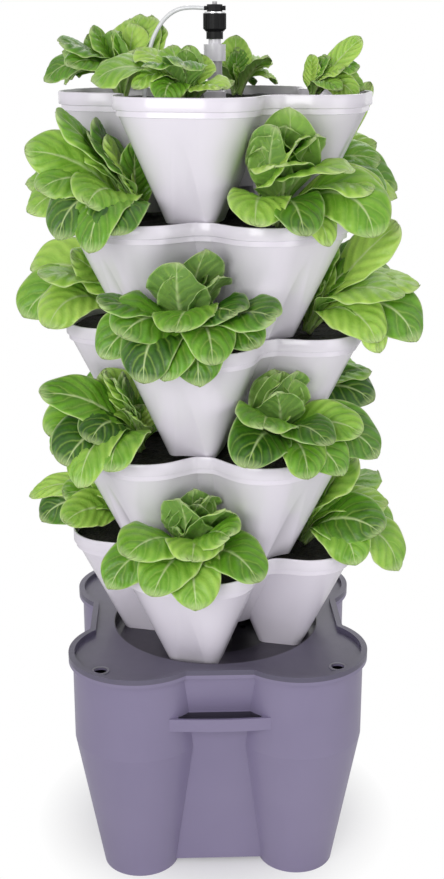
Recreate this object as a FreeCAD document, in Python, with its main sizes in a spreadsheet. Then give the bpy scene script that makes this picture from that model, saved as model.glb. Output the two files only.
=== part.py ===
"""Vertical planter tower: five stacked four-pocket tiers on a water reservoir.

The tower stands on its floor plane, Z up, with the tank's flat panels square to X and Y.
All sizes are millimetres.  A pump in the tank feeds a riser through the tiers' hubs to a
drip head, and each pocket holds growing medium and one lettuce.
"""
import FreeCAD, Part
import math
import os
import re

import Sketcher

DIMENSIONS = {
    # tank
    "tank_shoulder": 225, "lobe_offset": 123, "tank_lobe_radius": 99, "foot_radius": 58.5, "tank_panel_reach": 194, "tank_panel_half": 78,
    "panel_foot_reach": 148.5, "panel_foot_half": 75, "tank_wall": 4, "tank_floor": 5,
    "panel_lift": 8, "pull_width": 124, "pull_end": 14, "pull_depth": 28, "pull_height": 26, "pull_level": 296,
    "pull_slot_height": 15, "pull_lip": 4, "pull_bow": 732, "pull_foot": 6,
    # lid
    "lid_lobe_radius": 105.5, "lid_neck_reach": 200, "lid_neck_half": 72, "lid_top": 364,
    "lid_skirt": 14, "lid_wall": 3, "lid_rim_width": 9, "lid_rim_depth": 7.5,
    "recess_radius": 163, "ledge_depth": 24, "well_radius": 92, "well_depth": 46,
    "boss_radius": 27, "port_radius": 10, "port_reach": 177, "lid_drain_radius": 5,
    "lid_drain_reach": 66, "grommet_lip": 3, "grommet_lip_height": 1.6,
    # tiers
    "tier_height": 172, "tier_nest": 4, "tier_wall": 3, "rim_half": 100, "rim_reach": 223,
    "rim_corner": 70, "rim_height": 18, "step_inset": 4, "step_height": 8, "body_inset": 7,
    "notch_radius": 154, "leg_half": 36, "leg_reach": 146, "leg_inner": 76, "leg_corner": 14,
    "leg_floor": 16, "tub_level": 44, "tub_low_radius": 84, "tub_high_radius": 144,
    "flute_radius": 62, "flute_depth": 5, "flute_height": 122,
    "hub_radius": 16, "hub_bore_radius": 11.7, "hub_seat_radius": 19, "drain_radius": 4,
    "drain_reach": 52, "odd_turn": -16, "even_turn": 37,
    # growing medium and plants
    "soil_gap": 15, "plant_reach": 140, "crown_radius": 16,
    "crown_height": 22,
    "outer_leaf": 188, "second_leaf": 172, "middle_leaf": 165, "inner_leaf": 140, "leaf_breadth": 0.24,
    "leaf_lift": 4, "leaf_thickness": 2,
    # riser and drip head
    "pipe_radius": 10.67, "pipe_bore_radius": 7.9, "socket_fit": 0.08, "socket_depth": 24,
    "socket_wall": 3.8, "head_clearance": 41, "adapter_length": 23, "adapter_insert": 12,
    "adapter_radius": 15.7, "seam_groove": 0.8, "neck_radius": 9, "neck_length": 7,
    "barrel_radius": 11.9, "barrel_length": 10, "collar_radius": 16.4, "collar_length": 25,
    "collar_chamfer": 4, "collar_fit": 0.1, "spigot_radius": 9.5, "rib_cut": 1.6,
    "ring_length": 2, "ring_radius": 15.2, "cap_radius": 11, "cap_length": 10, "lug_length": 9, "lug_radius": 3.2,
    "nib_radius": 3.4, "nib_length": 4, "barb_radius": 3, "barb_length": 4, "water_bore": 3,
    # drip tube
    "tube_radius": 3, "tube_gap": 0.02,
    # pump
    "pump_length": 60, "pump_half": 22, "pump_corner": 5, "pump_height": 46, "cup_height": 11,
    "cup_radius": 9, "cup_stem_radius": 4, "cup_stem": 4, "cup_inset": 11, "chamber_radius": 16,
    "chamber_length": 14, "magnet_radius": 8, "magnet_length": 27, "magnet_fit": 0.5,
    "shaft_radius": 1.5, "shaft_fit": 0.06, "shaft_seat": 3, "vane_radius": 14, "vane_length": 8,
    "vane_thickness": 1.4, "vane_disc": 2, "cover_thickness": 5, "cover_inset": 3, "slot_width": 2.4,
    "slot_pitch": 6, "outlet_radius": 9.5, "outlet_bore": 5, "outlet_length": 14, "knob_radius": 8,
    "knob_length": 5, "knob_bar": 3, "gland_radius": 5, "gland_length": 8,
}

doc = FreeCAD.newDocument("planter_tower")
sheet = doc.addObject("Spreadsheet::Sheet", "dims")
for row, (alias, size) in enumerate(DIMENSIONS.items(), start=1):
    sheet.set(f"A{row}", alias)
    sheet.set(f"B{row}", str(size))
    sheet.setAlias(f"B{row}", alias)
doc.recompute()

ALIAS = re.compile(r"[a-z][a-z_]*[a-z]")
FUNCTIONS = {"sqrt", "sin", "cos", "tan", "atan", "deg"}
nodes = []


def bound(rule):
    """Return a rule with each driving dimension written as a cell of the sheet."""
    def cell(match):
        word = match.group(0)
        return word if word in FUNCTIONS else f"dims.{word}"
    return ALIAS.sub(cell, str(rule))


def size(rule):
    """Return the present value of a rule."""
    value = sheet.evalExpression(bound(rule))
    return float(getattr(value, "Value", value))


def bind(piece, **rules):
    """Bind properties of an object to rules."""
    for prop, rule in rules.items():
        piece.setExpression(prop, bound(rule))
    return piece


def place(piece, x=0, y=0, z=0, axis=None, turn=0):
    """Place an object at rules for x, y and z, turned about an axis."""
    if axis:
        piece.Placement.Rotation = FreeCAD.Rotation(FreeCAD.Vector(*axis), 1)
        piece.setExpression("Placement.Rotation.Angle", bound(turn))
    for letter, rule in zip("xyz", (x, y, z)):
        piece.setExpression(f"Placement.Base.{letter}", bound(rule))
    return piece


def cylinder(name, radius, height, **where):
    return place(bind(doc.addObject("Part::Cylinder", name), Radius=radius, Height=height), **where)


def cone(name, low, high, height, **where):
    piece = doc.addObject("Part::Cone", name)
    return place(bind(piece, Radius1=low, Radius2=high, Height=height), **where)


def box(name, length, width, height, **where):
    """Return a box centred on its place in X and Y."""
    piece = bind(doc.addObject("Part::Box", name), Length=length, Width=width, Height=height)
    where["x"] = f"({where.get('x', 0)}) - ({length}) / 2"
    where["y"] = f"({where.get('y', 0)}) - ({width}) / 2"
    return place(piece, **where)


def fuse(name, pieces):
    joined = doc.addObject("Part::MultiFuse", name)
    joined.Shapes = list(pieces)
    joined.Refine = True
    return joined


def cut(name, base, tools):
    """Cut a base by one tool or by several fused together."""
    tools = list(tools) if isinstance(tools, (list, tuple)) else [tools]
    result = doc.addObject("Part::Cut", name)
    result.Base = base
    result.Tool = tools[0] if len(tools) == 1 else fuse(name + "_tools", tools)
    result.Refine = True
    return result


def common(name, pieces):
    shared = doc.addObject("Part::MultiCommon", name)
    shared.Shapes = list(pieces)
    return shared


def around(name, piece, count=4, first=0):
    """Return copies of a piece turned evenly about Z, the first by a given angle."""
    copies = []
    for index in range(count):
        turned = doc.addObject("Part::Compound", f"{name}_{index}")
        turned.Links = [piece]
        angle = first + index * 360 / count
        turned.Placement.Rotation = FreeCAD.Rotation(FreeCAD.Vector(0, 0, 1), angle)
        copies.append(turned)
    return copies


def node(piece, label):
    piece.Label = label
    nodes.append(piece)
    return piece


def copy_of(source, label, placement):
    """Return a repeat of a finished piece at its own place."""
    repeat = doc.addObject("Part::Feature", label)
    repeat.Shape = source.Shape.copy()
    repeat.Placement = placement.multiply(source.Placement)
    return node(repeat, label)


def rounded_sketch(name, inner, outer, half, corner_in, corner_out, z):
    """Sketch a rounded rectangle from inner to outer along X, with a half width in Y."""
    x0, x1, h = size(inner), size(outer), size(half)
    radii = (size(corner_out), size(corner_out), size(corner_in), size(corner_in))
    corners = ((x1, -h), (x1, h), (x0, h), (x0, -h))
    up = FreeCAD.Vector(0, 0, 1)
    sketch = doc.addObject("Sketcher::SketchObject", name)
    centres = [FreeCAD.Vector(x - r * math.copysign(1, x - (x0 + x1) / 2), y - r * math.copysign(1, y), 0)
               for (x, y), r in zip(corners, radii)]
    for index, (centre, r) in enumerate(zip(centres, radii)):
        start = math.pi / 2 * (index - 1)
        sketch.addGeometry(Part.ArcOfCircle(Part.Circle(centre, up, r), start, start + math.pi / 2))
    for index in range(4):
        this, after = centres[index], centres[(index + 1) % 4]
        r, s = radii[index], radii[(index + 1) % 4]
        angle = math.pi / 2 * index
        out = FreeCAD.Vector(math.cos(angle), math.sin(angle), 0)
        sketch.addGeometry(Part.LineSegment(this + out * r, after + out * s))
    for index in range(4):
        sketch.addConstraint(Sketcher.Constraint("Tangent", index, 2, 4 + index, 1))
        sketch.addConstraint(Sketcher.Constraint("Tangent", 4 + index, 2, (index + 1) % 4, 1))
    for index, kind in enumerate(("Vertical", "Horizontal", "Vertical", "Horizontal")):
        sketch.addConstraint(Sketcher.Constraint(kind, 4 + index))
    rules = (("DistanceX", 4, outer), ("DistanceY", 5, half), ("DistanceX", 6, inner), ("DistanceY", 7, f"-({half})"))
    for kind, line, rule in rules:
        place_ = sketch.addConstraint(Sketcher.Constraint(kind, -1, 1, line, 1, size(rule)))
        sketch.setExpression(f"Constraints[{place_}]", bound(rule))
    for index, rule in enumerate((corner_out, corner_out, corner_in, corner_in)):
        place_ = sketch.addConstraint(Sketcher.Constraint("Radius", index, size(rule)))
        sketch.setExpression(f"Constraints[{place_}]", bound(rule))
    return place(sketch, z=z)


def rounded_plan(inner, outer, half, corner_in, corner_out, chords=5):
    """Return the corners of a rounded rectangle whose round corners run in even chords."""
    x0, x1, y1 = size(inner), size(outer), size(half)
    points = []
    for quarter, (x, y, rule) in enumerate(((x1, -y1, corner_out), (x1, y1, corner_out),
                                            (x0, y1, corner_in), (x0, -y1, corner_in))):
        radius = size(rule)
        centre_x = x - math.copysign(radius, x - (x0 + x1) / 2)
        centre_y = y - math.copysign(radius, y)
        for step in range(chords + 1):
            angle = math.pi / 2 * (quarter - 1 + step / chords)
            points.append((centre_x + radius * math.cos(angle), centre_y + radius * math.sin(angle)))
    return points


def tapered(name, low, high, low_level, high_level):
    """Return a solid with flat sides between two level outlines whose edges run parallel."""
    rings = []
    for plan, level in ((low, size(low_level)), (high, size(high_level))):
        corners = [FreeCAD.Vector(x, y, level) for x, y in plan]
        rings.append(corners + [corners[0]])
    faces = [Part.Face(Part.makePolygon(ring)) for ring in rings]
    bottom, top = rings
    for index in range(len(low)):
        after = index + 1
        side = (bottom[index], bottom[after], top[after], top[index], bottom[index])
        faces.append(Part.Face(Part.makePolygon(side)))
    solid = doc.addObject("Part::Feature", name)
    solid.Shape = Part.Solid(Part.Shell(faces))
    return solid


def prism(name, sketch, height):
    """Raise a level sketch into a solid."""
    solid = doc.addObject("Part::Extrusion", name)
    solid.Base = sketch
    solid.DirMode = "Custom"
    solid.Dir = FreeCAD.Vector(0, 0, 1)
    solid.Solid = True
    solid.setExpression("LengthFwd", bound(height))
    return solid


def turned(name, profile, label):
    """Revolve a closed profile of (radius, level) rules about Z, as a body of its own."""
    body = doc.addObject("PartDesign::Body", name)
    plane = next(item for item in body.Origin.OriginFeatures if item.Role == "XZ_Plane")
    sketch = body.newObject("Sketcher::SketchObject", name + "_profile")
    sketch.AttachmentSupport = [(plane, "")]
    sketch.MapMode = "FlatFace"
    points = [FreeCAD.Vector(size(r), size(z), 0) for r, z in profile]
    count = len(points)
    for index in range(count):
        sketch.addGeometry(Part.LineSegment(points[index], points[(index + 1) % count]))
    for index in range(count):
        sketch.addConstraint(Sketcher.Constraint("Coincident", index, 2, (index + 1) % count, 1))
    for index, (r, z) in enumerate(profile):
        for kind, rule in (("DistanceX", r), ("DistanceY", z)):
            if rule == 0:
                axis = -2 if kind == "DistanceX" else -1
                sketch.addConstraint(Sketcher.Constraint("PointOnObject", index, 1, axis))
                continue
            made = sketch.addConstraint(Sketcher.Constraint(kind, -1, 1, index, 1, size(rule)))
            sketch.setExpression(f"Constraints[{made}]", bound(rule))
    spin = body.newObject("PartDesign::Revolution", name + "_turn")
    spin.Profile = sketch
    spin.ReferenceAxis = (sketch, ["V_Axis"])
    spin.Angle = 360
    return node(body, label)


# The tank and its lid.
def quatrefoil(name, radius, reach, half, level, height):
    """Four upright cylinders at the corners joined by a cross of two boxes."""
    off = "lobe_offset"
    lobes = [cylinder(f"{name}_lobe_{i}", radius, height, x=f"{sx} * {off}", y=f"{sy} * {off}", z=level)
             for i, (sx, sy) in enumerate(((1, 1), (-1, 1), (-1, -1), (1, -1)))]
    arms = [box(f"{name}_arm_x", f"2 * ({reach})", f"2 * ({half})", height, z=level),
            box(f"{name}_arm_y", f"2 * ({half})", f"2 * ({reach})", height, z=level)]
    return fuse(name, lobes + arms)


TANK_TOP = "(lid_top - lid_rim_depth - lid_wall)"


def tank_form(name, inset, level):
    """Return the tank's outer form, or the same form set in by a wall from a level up."""
    rise = f"({TANK_TOP} - tank_shoulder)"
    spread = f"(tank_lobe_radius - foot_radius) * ({level}) / tank_shoulder"
    parts = []
    for index, (sx, sy) in enumerate(((1, 1), (-1, 1), (-1, -1), (1, -1))):
        corner = {"x": f"{sx} * lobe_offset", "y": f"{sy} * lobe_offset"}
        parts.append(cone(f"{name}_taper_{index}", f"foot_radius + {spread} - ({inset})",
                          f"tank_lobe_radius - ({inset})", f"tank_shoulder - ({level})", z=level, **corner))
        parts.append(cylinder(f"{name}_drum_{index}", f"tank_lobe_radius - ({inset})", rise,
                              z="tank_shoulder", **corner))
    for letter, turn in (("x", 0), ("y", 90)):
        panel = doc.addObject("Part::Wedge", f"{name}_panel_{letter}")
        bind(panel, Ymin=0, Ymax=f"{TANK_TOP} - panel_lift - ({level})",
             Xmin=f"({inset}) - panel_foot_half", Xmax=f"panel_foot_half - ({inset})",
             Zmin=f"({inset}) - panel_foot_reach", Zmax=f"panel_foot_reach - ({inset})",
             X2min=f"({inset}) - tank_panel_half", X2max=f"tank_panel_half - ({inset})",
             Z2min=f"({inset}) - tank_panel_reach", Z2max=f"tank_panel_reach - ({inset})")
        place(panel, z=f"panel_lift + ({level})")
        upright = FreeCAD.Rotation(FreeCAD.Vector(1, 0, 0), 90)
        panel.Placement.Rotation = FreeCAD.Rotation(FreeCAD.Vector(0, 0, 1), turn).multiply(upright)
        parts.append(panel)
    return fuse(name, parts)


PULL_FACE = f"(panel_foot_reach + (tank_panel_reach - panel_foot_reach) * (pull_level - panel_lift) / ({TANK_TOP} - panel_lift))"


def tank():
    """Return the water tank with a pull ledge on the front and back panels."""
    pulls = []
    for side, sign in (("front", -1), ("back", 1)):
        middle = f"{sign} * ({PULL_FACE} + pull_depth - pull_bow)"
        block = box(f"pull_{side}_block", "pull_width + 2 * pull_end", "2 * pull_depth", "pull_height - pull_foot",
                    y=f"{sign} * {PULL_FACE}", z="pull_level - pull_height")
        bow = cylinder(f"pull_{side}_bow", "pull_bow", "pull_height", y=middle, z="pull_level - pull_height")
        arm = common(f"pull_{side}_arm", [block, bow])
        gap = box(f"pull_{side}_gap", "pull_width", "pull_depth", "pull_slot_height",
                  y=f"{sign} * ({PULL_FACE} + pull_depth / 2)", z="pull_level - pull_slot_height")
        inner_bow = cylinder(f"pull_{side}_inner_bow", "pull_bow - pull_lip", "pull_height", y=middle,
                             z="pull_level - pull_height")
        pulls.append(cut(f"pull_{side}_ledge", arm, common(f"pull_{side}_trough", [gap, inner_bow])))
    shell = fuse("tank_shell", [tank_form("tank_outer", 0, 0)] + pulls)
    return node(cut("tank", shell, tank_form("tank_inner", "tank_wall", "tank_floor")), "reservoir_tank")


def lid():
    """Return the tray lid with its round recess, centre boss and two ports."""
    base = "(lid_top - lid_skirt)"
    plate = "(lid_top - lid_rim_depth)"
    ledge = "(lid_top - ledge_depth)"
    well = "(lid_top - well_depth)"
    reach, half = "lid_neck_reach", "lid_neck_half"
    outline = quatrefoil("lid_outline", "lid_lobe_radius", reach, half, base, "lid_skirt")
    under = quatrefoil("lid_under", "lid_lobe_radius - lid_wall", f"{reach} - lid_wall",
                       f"{half} - lid_wall", base, "lid_skirt - lid_rim_depth - lid_wall")
    tray = quatrefoil("lid_tray", "lid_lobe_radius - lid_rim_width", f"{reach} - lid_rim_width",
                      f"{half} - lid_rim_width", plate, "lid_rim_depth")
    skirt = cut("lid_skirted", outline, [under, tray])
    bowl = fuse("lid_bowl", [
        cylinder("lid_ledge_wall", "recess_radius + lid_wall", f"{plate} - {ledge} + lid_wall", z=f"{ledge} - lid_wall"),
        cylinder("lid_well_wall", "well_radius + lid_wall", f"{ledge} - {well} + lid_wall", z=f"{well} - lid_wall")])
    hollow = fuse("lid_hollow", [
        cylinder("lid_ledge_hollow", "recess_radius", "ledge_depth", z=ledge),
        cylinder("lid_well_hollow", "well_radius", f"{ledge} - {well}", z=well)])
    boss = cone("lid_boss", "boss_radius", "hub_seat_radius",
                f"{ledge} + tier_nest - {well}", z=well)
    passage = cylinder("lid_passage", "hub_bore_radius", "2 * well_depth", z=f"{well} - well_depth")
    ports = [cylinder(f"lid_port_{i}", "port_radius", "lid_skirt", x=f"{s} * port_reach", y="-port_reach - 4", z=base)
             for i, s in enumerate((-1, 1))]
    drain = cylinder("lid_drain", "lid_drain_radius", "well_depth", x="lid_drain_reach", z=f"{well} - lid_wall - 1")
    dish = cut("lid_dish", fuse("lid_dished", [skirt, bowl]), hollow)
    return node(cut("lid", fuse("lid_bossed", [dish, boss]), [passage] + ports + around("lid_drains", drain, 4, 45)),
                "reservoir_lid")


def grommets():
    """Return the two thin rings round the lid's ports."""
    rings = []
    for index, side in enumerate((-1, 1)):
        where = {"x": f"{side} * port_reach", "y": "-port_reach - 4", "z": "lid_top - lid_rim_depth"}
        outer = cylinder(f"grommet_{index}_outer", "port_radius + grommet_lip", "grommet_lip_height", **where)
        inner = cylinder(f"grommet_{index}_inner", "port_radius", "grommet_lip_height", **where)
        rings.append(cut(f"grommet_{index}", outer, inner))
    both = doc.addObject("Part::Compound", "grommets")
    both.Links = rings
    return node(both, "port_grommets")


# The tiers.
BODY_TOP = "(tier_height - rim_height - step_height)"
FACE_TURN = f"atan(((rim_reach - body_inset - leg_reach) / {BODY_TOP} * flute_height + flute_depth) / flute_height)"


def flute(name, extra):
    """Return the round cutter of a leg's flute, which fades out up the leaning face."""
    start = "30"
    return cylinder(name, f"flute_radius + ({extra})", "260", axis=(0, 1, 0), turn=FACE_TURN,
                    x=f"leg_reach - flute_depth + flute_radius / cos({FACE_TURN}) - {start} * tan({FACE_TURN})",
                    z=f"-{start}")


def tier_outline(name, inset, level, height):
    """Return a solid with the tier's four-lobed outline."""
    lobe = prism(f"{name}_lobe", rounded_sketch(f"{name}_plan", "0", f"rim_reach - ({inset})",
                 f"rim_half - ({inset})", "6", f"rim_corner - ({inset})", level), height)
    core = cylinder(f"{name}_core", f"notch_radius - ({inset})", height, z=level)
    return fuse(name, around(f"{name}_lobes", lobe) + [core])


def tier_hollow():
    """Return the inside of a tier, which its growing medium fills."""
    share = f"leg_floor / {BODY_TOP}"
    low_half = f"leg_half + (rim_half - body_inset - leg_half) * {share} - tier_wall"
    low_reach = f"leg_reach + (rim_reach - body_inset - leg_reach) * {share} - tier_wall"
    low = rounded_plan("leg_inner + tier_wall", low_reach, low_half, "leg_corner - tier_wall",
                       "leg_corner - tier_wall")
    high = rounded_plan("leg_inner / 2", "rim_reach - body_inset - tier_wall", "rim_half - body_inset - tier_wall",
                        "leg_corner", "rim_corner - body_inset - tier_wall")
    form = tapered("pocket", low, high, "leg_floor", f"{BODY_TOP} + tier_wall")
    pocket = cut("pocket_fluted", form, flute("pocket_flute", "tier_wall"))
    tub = cone("tub_hollow", "tub_low_radius - tier_wall", "tub_high_radius - tier_wall",
               f"{BODY_TOP} - tub_level", z="tub_level + tier_wall")
    step = tier_outline("step_hollow", "step_inset + tier_wall", f"{BODY_TOP} + tier_wall", "step_height")
    mouth = tier_outline("rim_mouth", "tier_wall", "tier_height - rim_height + tier_wall", "rim_height")
    return fuse("tier_inside", around("pockets", pocket) + [tub, step, mouth])


def tier(inside):
    """Return one four-pocket tier with its legs at the origin's level."""
    low = rounded_plan("leg_inner", "leg_reach", "leg_half", "leg_corner", "leg_corner")
    high = rounded_plan("leg_inner / 2 - tier_wall", "rim_reach - body_inset", "rim_half - body_inset",
                        "leg_corner", "rim_corner - body_inset")
    leg = cut("leg", tapered("leg_form", low, high, "0", BODY_TOP), flute("leg_flute", "0"))
    tub = cone("tub", "tub_low_radius", "tub_high_radius", f"{BODY_TOP} - tub_level", z="tub_level")
    step = tier_outline("step_band", "step_inset", BODY_TOP, "step_height")
    rim = tier_outline("rim_band", "0", "tier_height - rim_height", "rim_height")
    form = fuse("tier_form", around("legs", leg) + [tub, step, rim])
    hub = cylinder("tier_hub", "hub_radius", "tier_height - tier_nest", z="tier_nest")
    bore = cylinder("tier_bore", "hub_bore_radius", "2 * tier_height", z="-tier_height / 2")
    drain = cylinder("tier_drain", "drain_radius", "tier_height", x="drain_reach")
    bare = cut("tier_bare", form, inside)
    return cut("tier_one", fuse("tier_hubbed", [bare, hub]), [bore] + around("tier_drains", drain, 4, 45))


def medium(inside):
    """Return the growing medium that fills a tier round its hub."""
    fill = box("medium_level", "3 * rim_reach", "3 * rim_reach", "tier_height - soil_gap")
    return cut("medium_one", common("medium_fill", [inside, fill]),
               cylinder("medium_hub", "hub_radius", "2 * tier_height", z="-tier_height / 2"))


def blade(length, width, lift, swing, base):
    """Return one flat spoon-shaped leaf from the crown, lifted and swung about Z."""
    spoon = ((0, 5), (0.42, 0.62), (0.72, 1), (0.92, 0.62))
    half = [FreeCAD.Vector(length * along, across if along == 0 else width * across, 0) for along, across in spoon]
    rim = half + [FreeCAD.Vector(length, 0, 0)] + [FreeCAD.Vector(p.x, -p.y, 0) for p in reversed(half)]
    plate = Part.Face(Part.makePolygon(rim + [rim[0]])).extrude(FreeCAD.Vector(0, 0, size("leaf_thickness")))
    plate.rotate(FreeCAD.Vector(), FreeCAD.Vector(0, 1, 0), -lift)
    plate.translate(FreeCAD.Vector(0, 0, base))
    plate.rotate(FreeCAD.Vector(), FreeCAD.Vector(0, 0, 1), swing)
    return plate


def lettuce():
    """Return one lettuce head, leaning out along X from its crown, with rows of leaves."""
    crown = tapered("crown", *[[(size(radius) * math.cos(math.pi / 4 * step), size(radius) * math.sin(math.pi / 4 * step))
                                for step in range(8)] for radius in ("crown_radius * 0.6", "crown_radius")],
                    "0", "crown_height").Shape
    rows = (("outer_leaf", "leaf_lift", ((-48, 12), (-22, 16), (6, 12), (34, 15), (58, 12))),
            ("second_leaf", "leaf_lift + 3", ((-34, 27), (-8, 31), (20, 28), (46, 30))),
            ("middle_leaf", "leaf_lift + 5", ((-14, 44), (10, 48), (36, 46))),
            ("inner_leaf", "leaf_lift + 8", ((2, 58), (24, 62), (46, 58))))
    leaves = []
    for leaf, base, spread in rows:
        for swing, lift in spread:
            leaves.append(blade(size(leaf), size(f"{leaf} * leaf_breadth"), lift, swing, size(base)))
    return crown.multiFuse(leaves).removeSplitter()


# The pump, its rotor and the outlet.
TANK_FLOOR = "(panel_lift + tank_floor)"
PUMP_BASE = f"({TANK_FLOOR} + cup_height)"
PUMP_TOP = f"({PUMP_BASE} + pump_height)"
PUMP_AXIS = f"({PUMP_BASE} + pump_height / 2)"
PUMP_FACE = "(chamber_length / 2)"


def along_x(name, radius, length, start, level=PUMP_AXIS):
    return cylinder(name, radius, length, axis=(0, 1, 0), turn="90", x=start, z=level)


def pump():
    """Return the pump housing with its rotor chamber, magnet well, shaft seat and outlet."""
    plan = rounded_sketch("pump_plan", f"{PUMP_FACE} - pump_length", PUMP_FACE, "pump_half", "pump_corner",
                          "pump_corner", PUMP_BASE)
    block = prism("pump_block", plan, "pump_height")
    stub = cylinder("pump_stub", "outlet_radius", "outlet_length", z=PUMP_TOP)
    hollows = [
        along_x("pump_chamber", "chamber_radius", "chamber_length", f"-{PUMP_FACE}"),
        along_x("pump_well", "magnet_radius + magnet_fit", "magnet_length + 1", f"-{PUMP_FACE} - magnet_length - 1"),
        along_x("pump_shaft_seat", "shaft_radius", "shaft_seat + 1", f"-{PUMP_FACE} - magnet_length - 1 - shaft_seat"),
        cylinder("pump_outlet_bore", "outlet_bore", "pump_height / 2 + outlet_length", z=PUMP_AXIS)]
    return node(cut("pump", fuse("pump_form", [block, stub]), hollows), "pump_housing")


def rotor():
    """Return the magnet rotor with its disc and six vanes, and the shaft that it turns on."""
    magnet = cylinder("magnet", "magnet_radius", "magnet_length", z=f"-magnet_length - {PUMP_FACE}")
    collar = cylinder("rotor_neck", "magnet_radius / 2 + 1", "chamber_length / 2 - vane_length / 2",
                      z=f"-{PUMP_FACE}")
    disc = cylinder("rotor_disc", "vane_radius", "vane_disc", z="-vane_length / 2")
    vane = box("vane", "vane_radius - shaft_radius * 2", "vane_thickness", "vane_length",
               x="vane_radius / 2 + shaft_radius", z="-vane_length / 2")
    eye = cylinder("rotor_eye", "shaft_radius * 2 + 1", "vane_length", z="-vane_length / 2")
    form = fuse("rotor_form", [magnet, collar, disc, eye] + around("vanes", vane, 6))
    bore = cylinder("rotor_bore", "shaft_radius + shaft_fit", "2 * pump_length", z="-pump_length")
    wheel = place(cut("rotor", form, bore), axis=(0, 1, 0), turn="90", z=PUMP_AXIS)
    node(wheel, "pump_impeller")
    start = f"-{PUMP_FACE} - magnet_length - 1 - shaft_seat"
    node(along_x("shaft", "shaft_radius", f"chamber_length + magnet_length + 1 + 2 * shaft_seat", start),
         "impeller_shaft")


def intake_cover():
    """Return the slotted intake cover that closes the rotor chamber."""
    plate = box("cover_plate", "cover_thickness", "2 * (pump_half - cover_inset)", "pump_height - 2 * cover_inset",
                x=f"{PUMP_FACE} + cover_thickness / 2", z=f"{PUMP_BASE} + cover_inset")
    slots = []
    for side in (-1, 1):
        for index in (1, 2):
            slots.append(box(f"slot_{side}_{index}", "2 * cover_thickness", "slot_width",
                             "pump_height - 6 * cover_inset", x=PUMP_FACE, y=f"{side * index} * slot_pitch",
                             z=f"{PUMP_BASE} + 3 * cover_inset"))
    seat = along_x("cover_seat", "shaft_radius + shaft_fit", "shaft_seat", PUMP_FACE)
    return node(cut("cover", plate, slots + [seat]), "intake_cover")


def pump_fittings():
    """Add the suction feet, cable gland and flow knob to the pump."""
    cups = []
    ends = (f"{PUMP_FACE} - cup_inset", f"{PUMP_FACE} - pump_length + cup_inset")
    for index, (x, sign) in enumerate(((ends[0], 1), (ends[0], -1), (ends[1], 1), (ends[1], -1))):
        y = f"{sign} * (pump_half - cup_inset)"
        skirt = cone(f"cup_{index}", "cup_radius", "cup_stem_radius", "cup_height - cup_stem", x=x, y=y, z=TANK_FLOOR)
        stem = cylinder(f"cup_stem_{index}", "cup_stem_radius", "cup_stem", x=x, y=y,
                        z=f"{PUMP_BASE} - cup_stem")
        cups.append(fuse(f"foot_{index}", [skirt, stem]))
    feet = doc.addObject("Part::Compound", "feet")
    feet.Links = cups
    node(feet, "pump_suction_feet")
    node(along_x("gland", "gland_radius", "gland_length", f"{PUMP_FACE} - pump_length - gland_length",
                 level=f"{PUMP_TOP} - 2 * gland_radius"), "cable_gland")
    dial = cylinder("knob_dial", "knob_radius", "knob_length", axis=(1, 0, 0), turn="90",
                    x=f"{PUMP_FACE} - pump_length * 0.7", y="-pump_half", z=PUMP_AXIS)
    bar = box("knob_grip", "2 * knob_radius", "knob_bar", "knob_bar", x=f"{PUMP_FACE} - pump_length * 0.7",
              y="-pump_half - knob_length - knob_bar / 2", z=f"{PUMP_AXIS} - knob_bar / 2")
    node(fuse("knob", [dial, bar]), "flow_knob")
    outer = "pipe_radius + socket_wall"
    seat = "outlet_length + 4"
    adapter = turned("adapter", (
        ("outlet_radius + socket_fit", 0), (outer, 0), (outer, f"{seat} + socket_depth"),
        ("pipe_radius + socket_fit", f"{seat} + socket_depth"), ("pipe_radius + socket_fit", seat),
        ("pipe_bore_radius", seat), ("pipe_bore_radius", "outlet_length"),
        ("outlet_radius + socket_fit", "outlet_length")),
        "outlet_adapter")
    place(adapter, z=PUMP_TOP)


# The riser and the drip head on top of it.
TOWER_TOP = "(lid_top - ledge_depth + 4 * (tier_height - tier_nest) + tier_height)"
ADAPTER_LEVEL = f"({TOWER_TOP} + head_clearance)"
PIPE_FOOT = f"({PUMP_TOP} + outlet_length + 4)"
BARREL_LEVEL = f"({ADAPTER_LEVEL} + adapter_length + neck_length)"
RING_LEVEL = f"({BARREL_LEVEL} + barrel_length + collar_length)"


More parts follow.
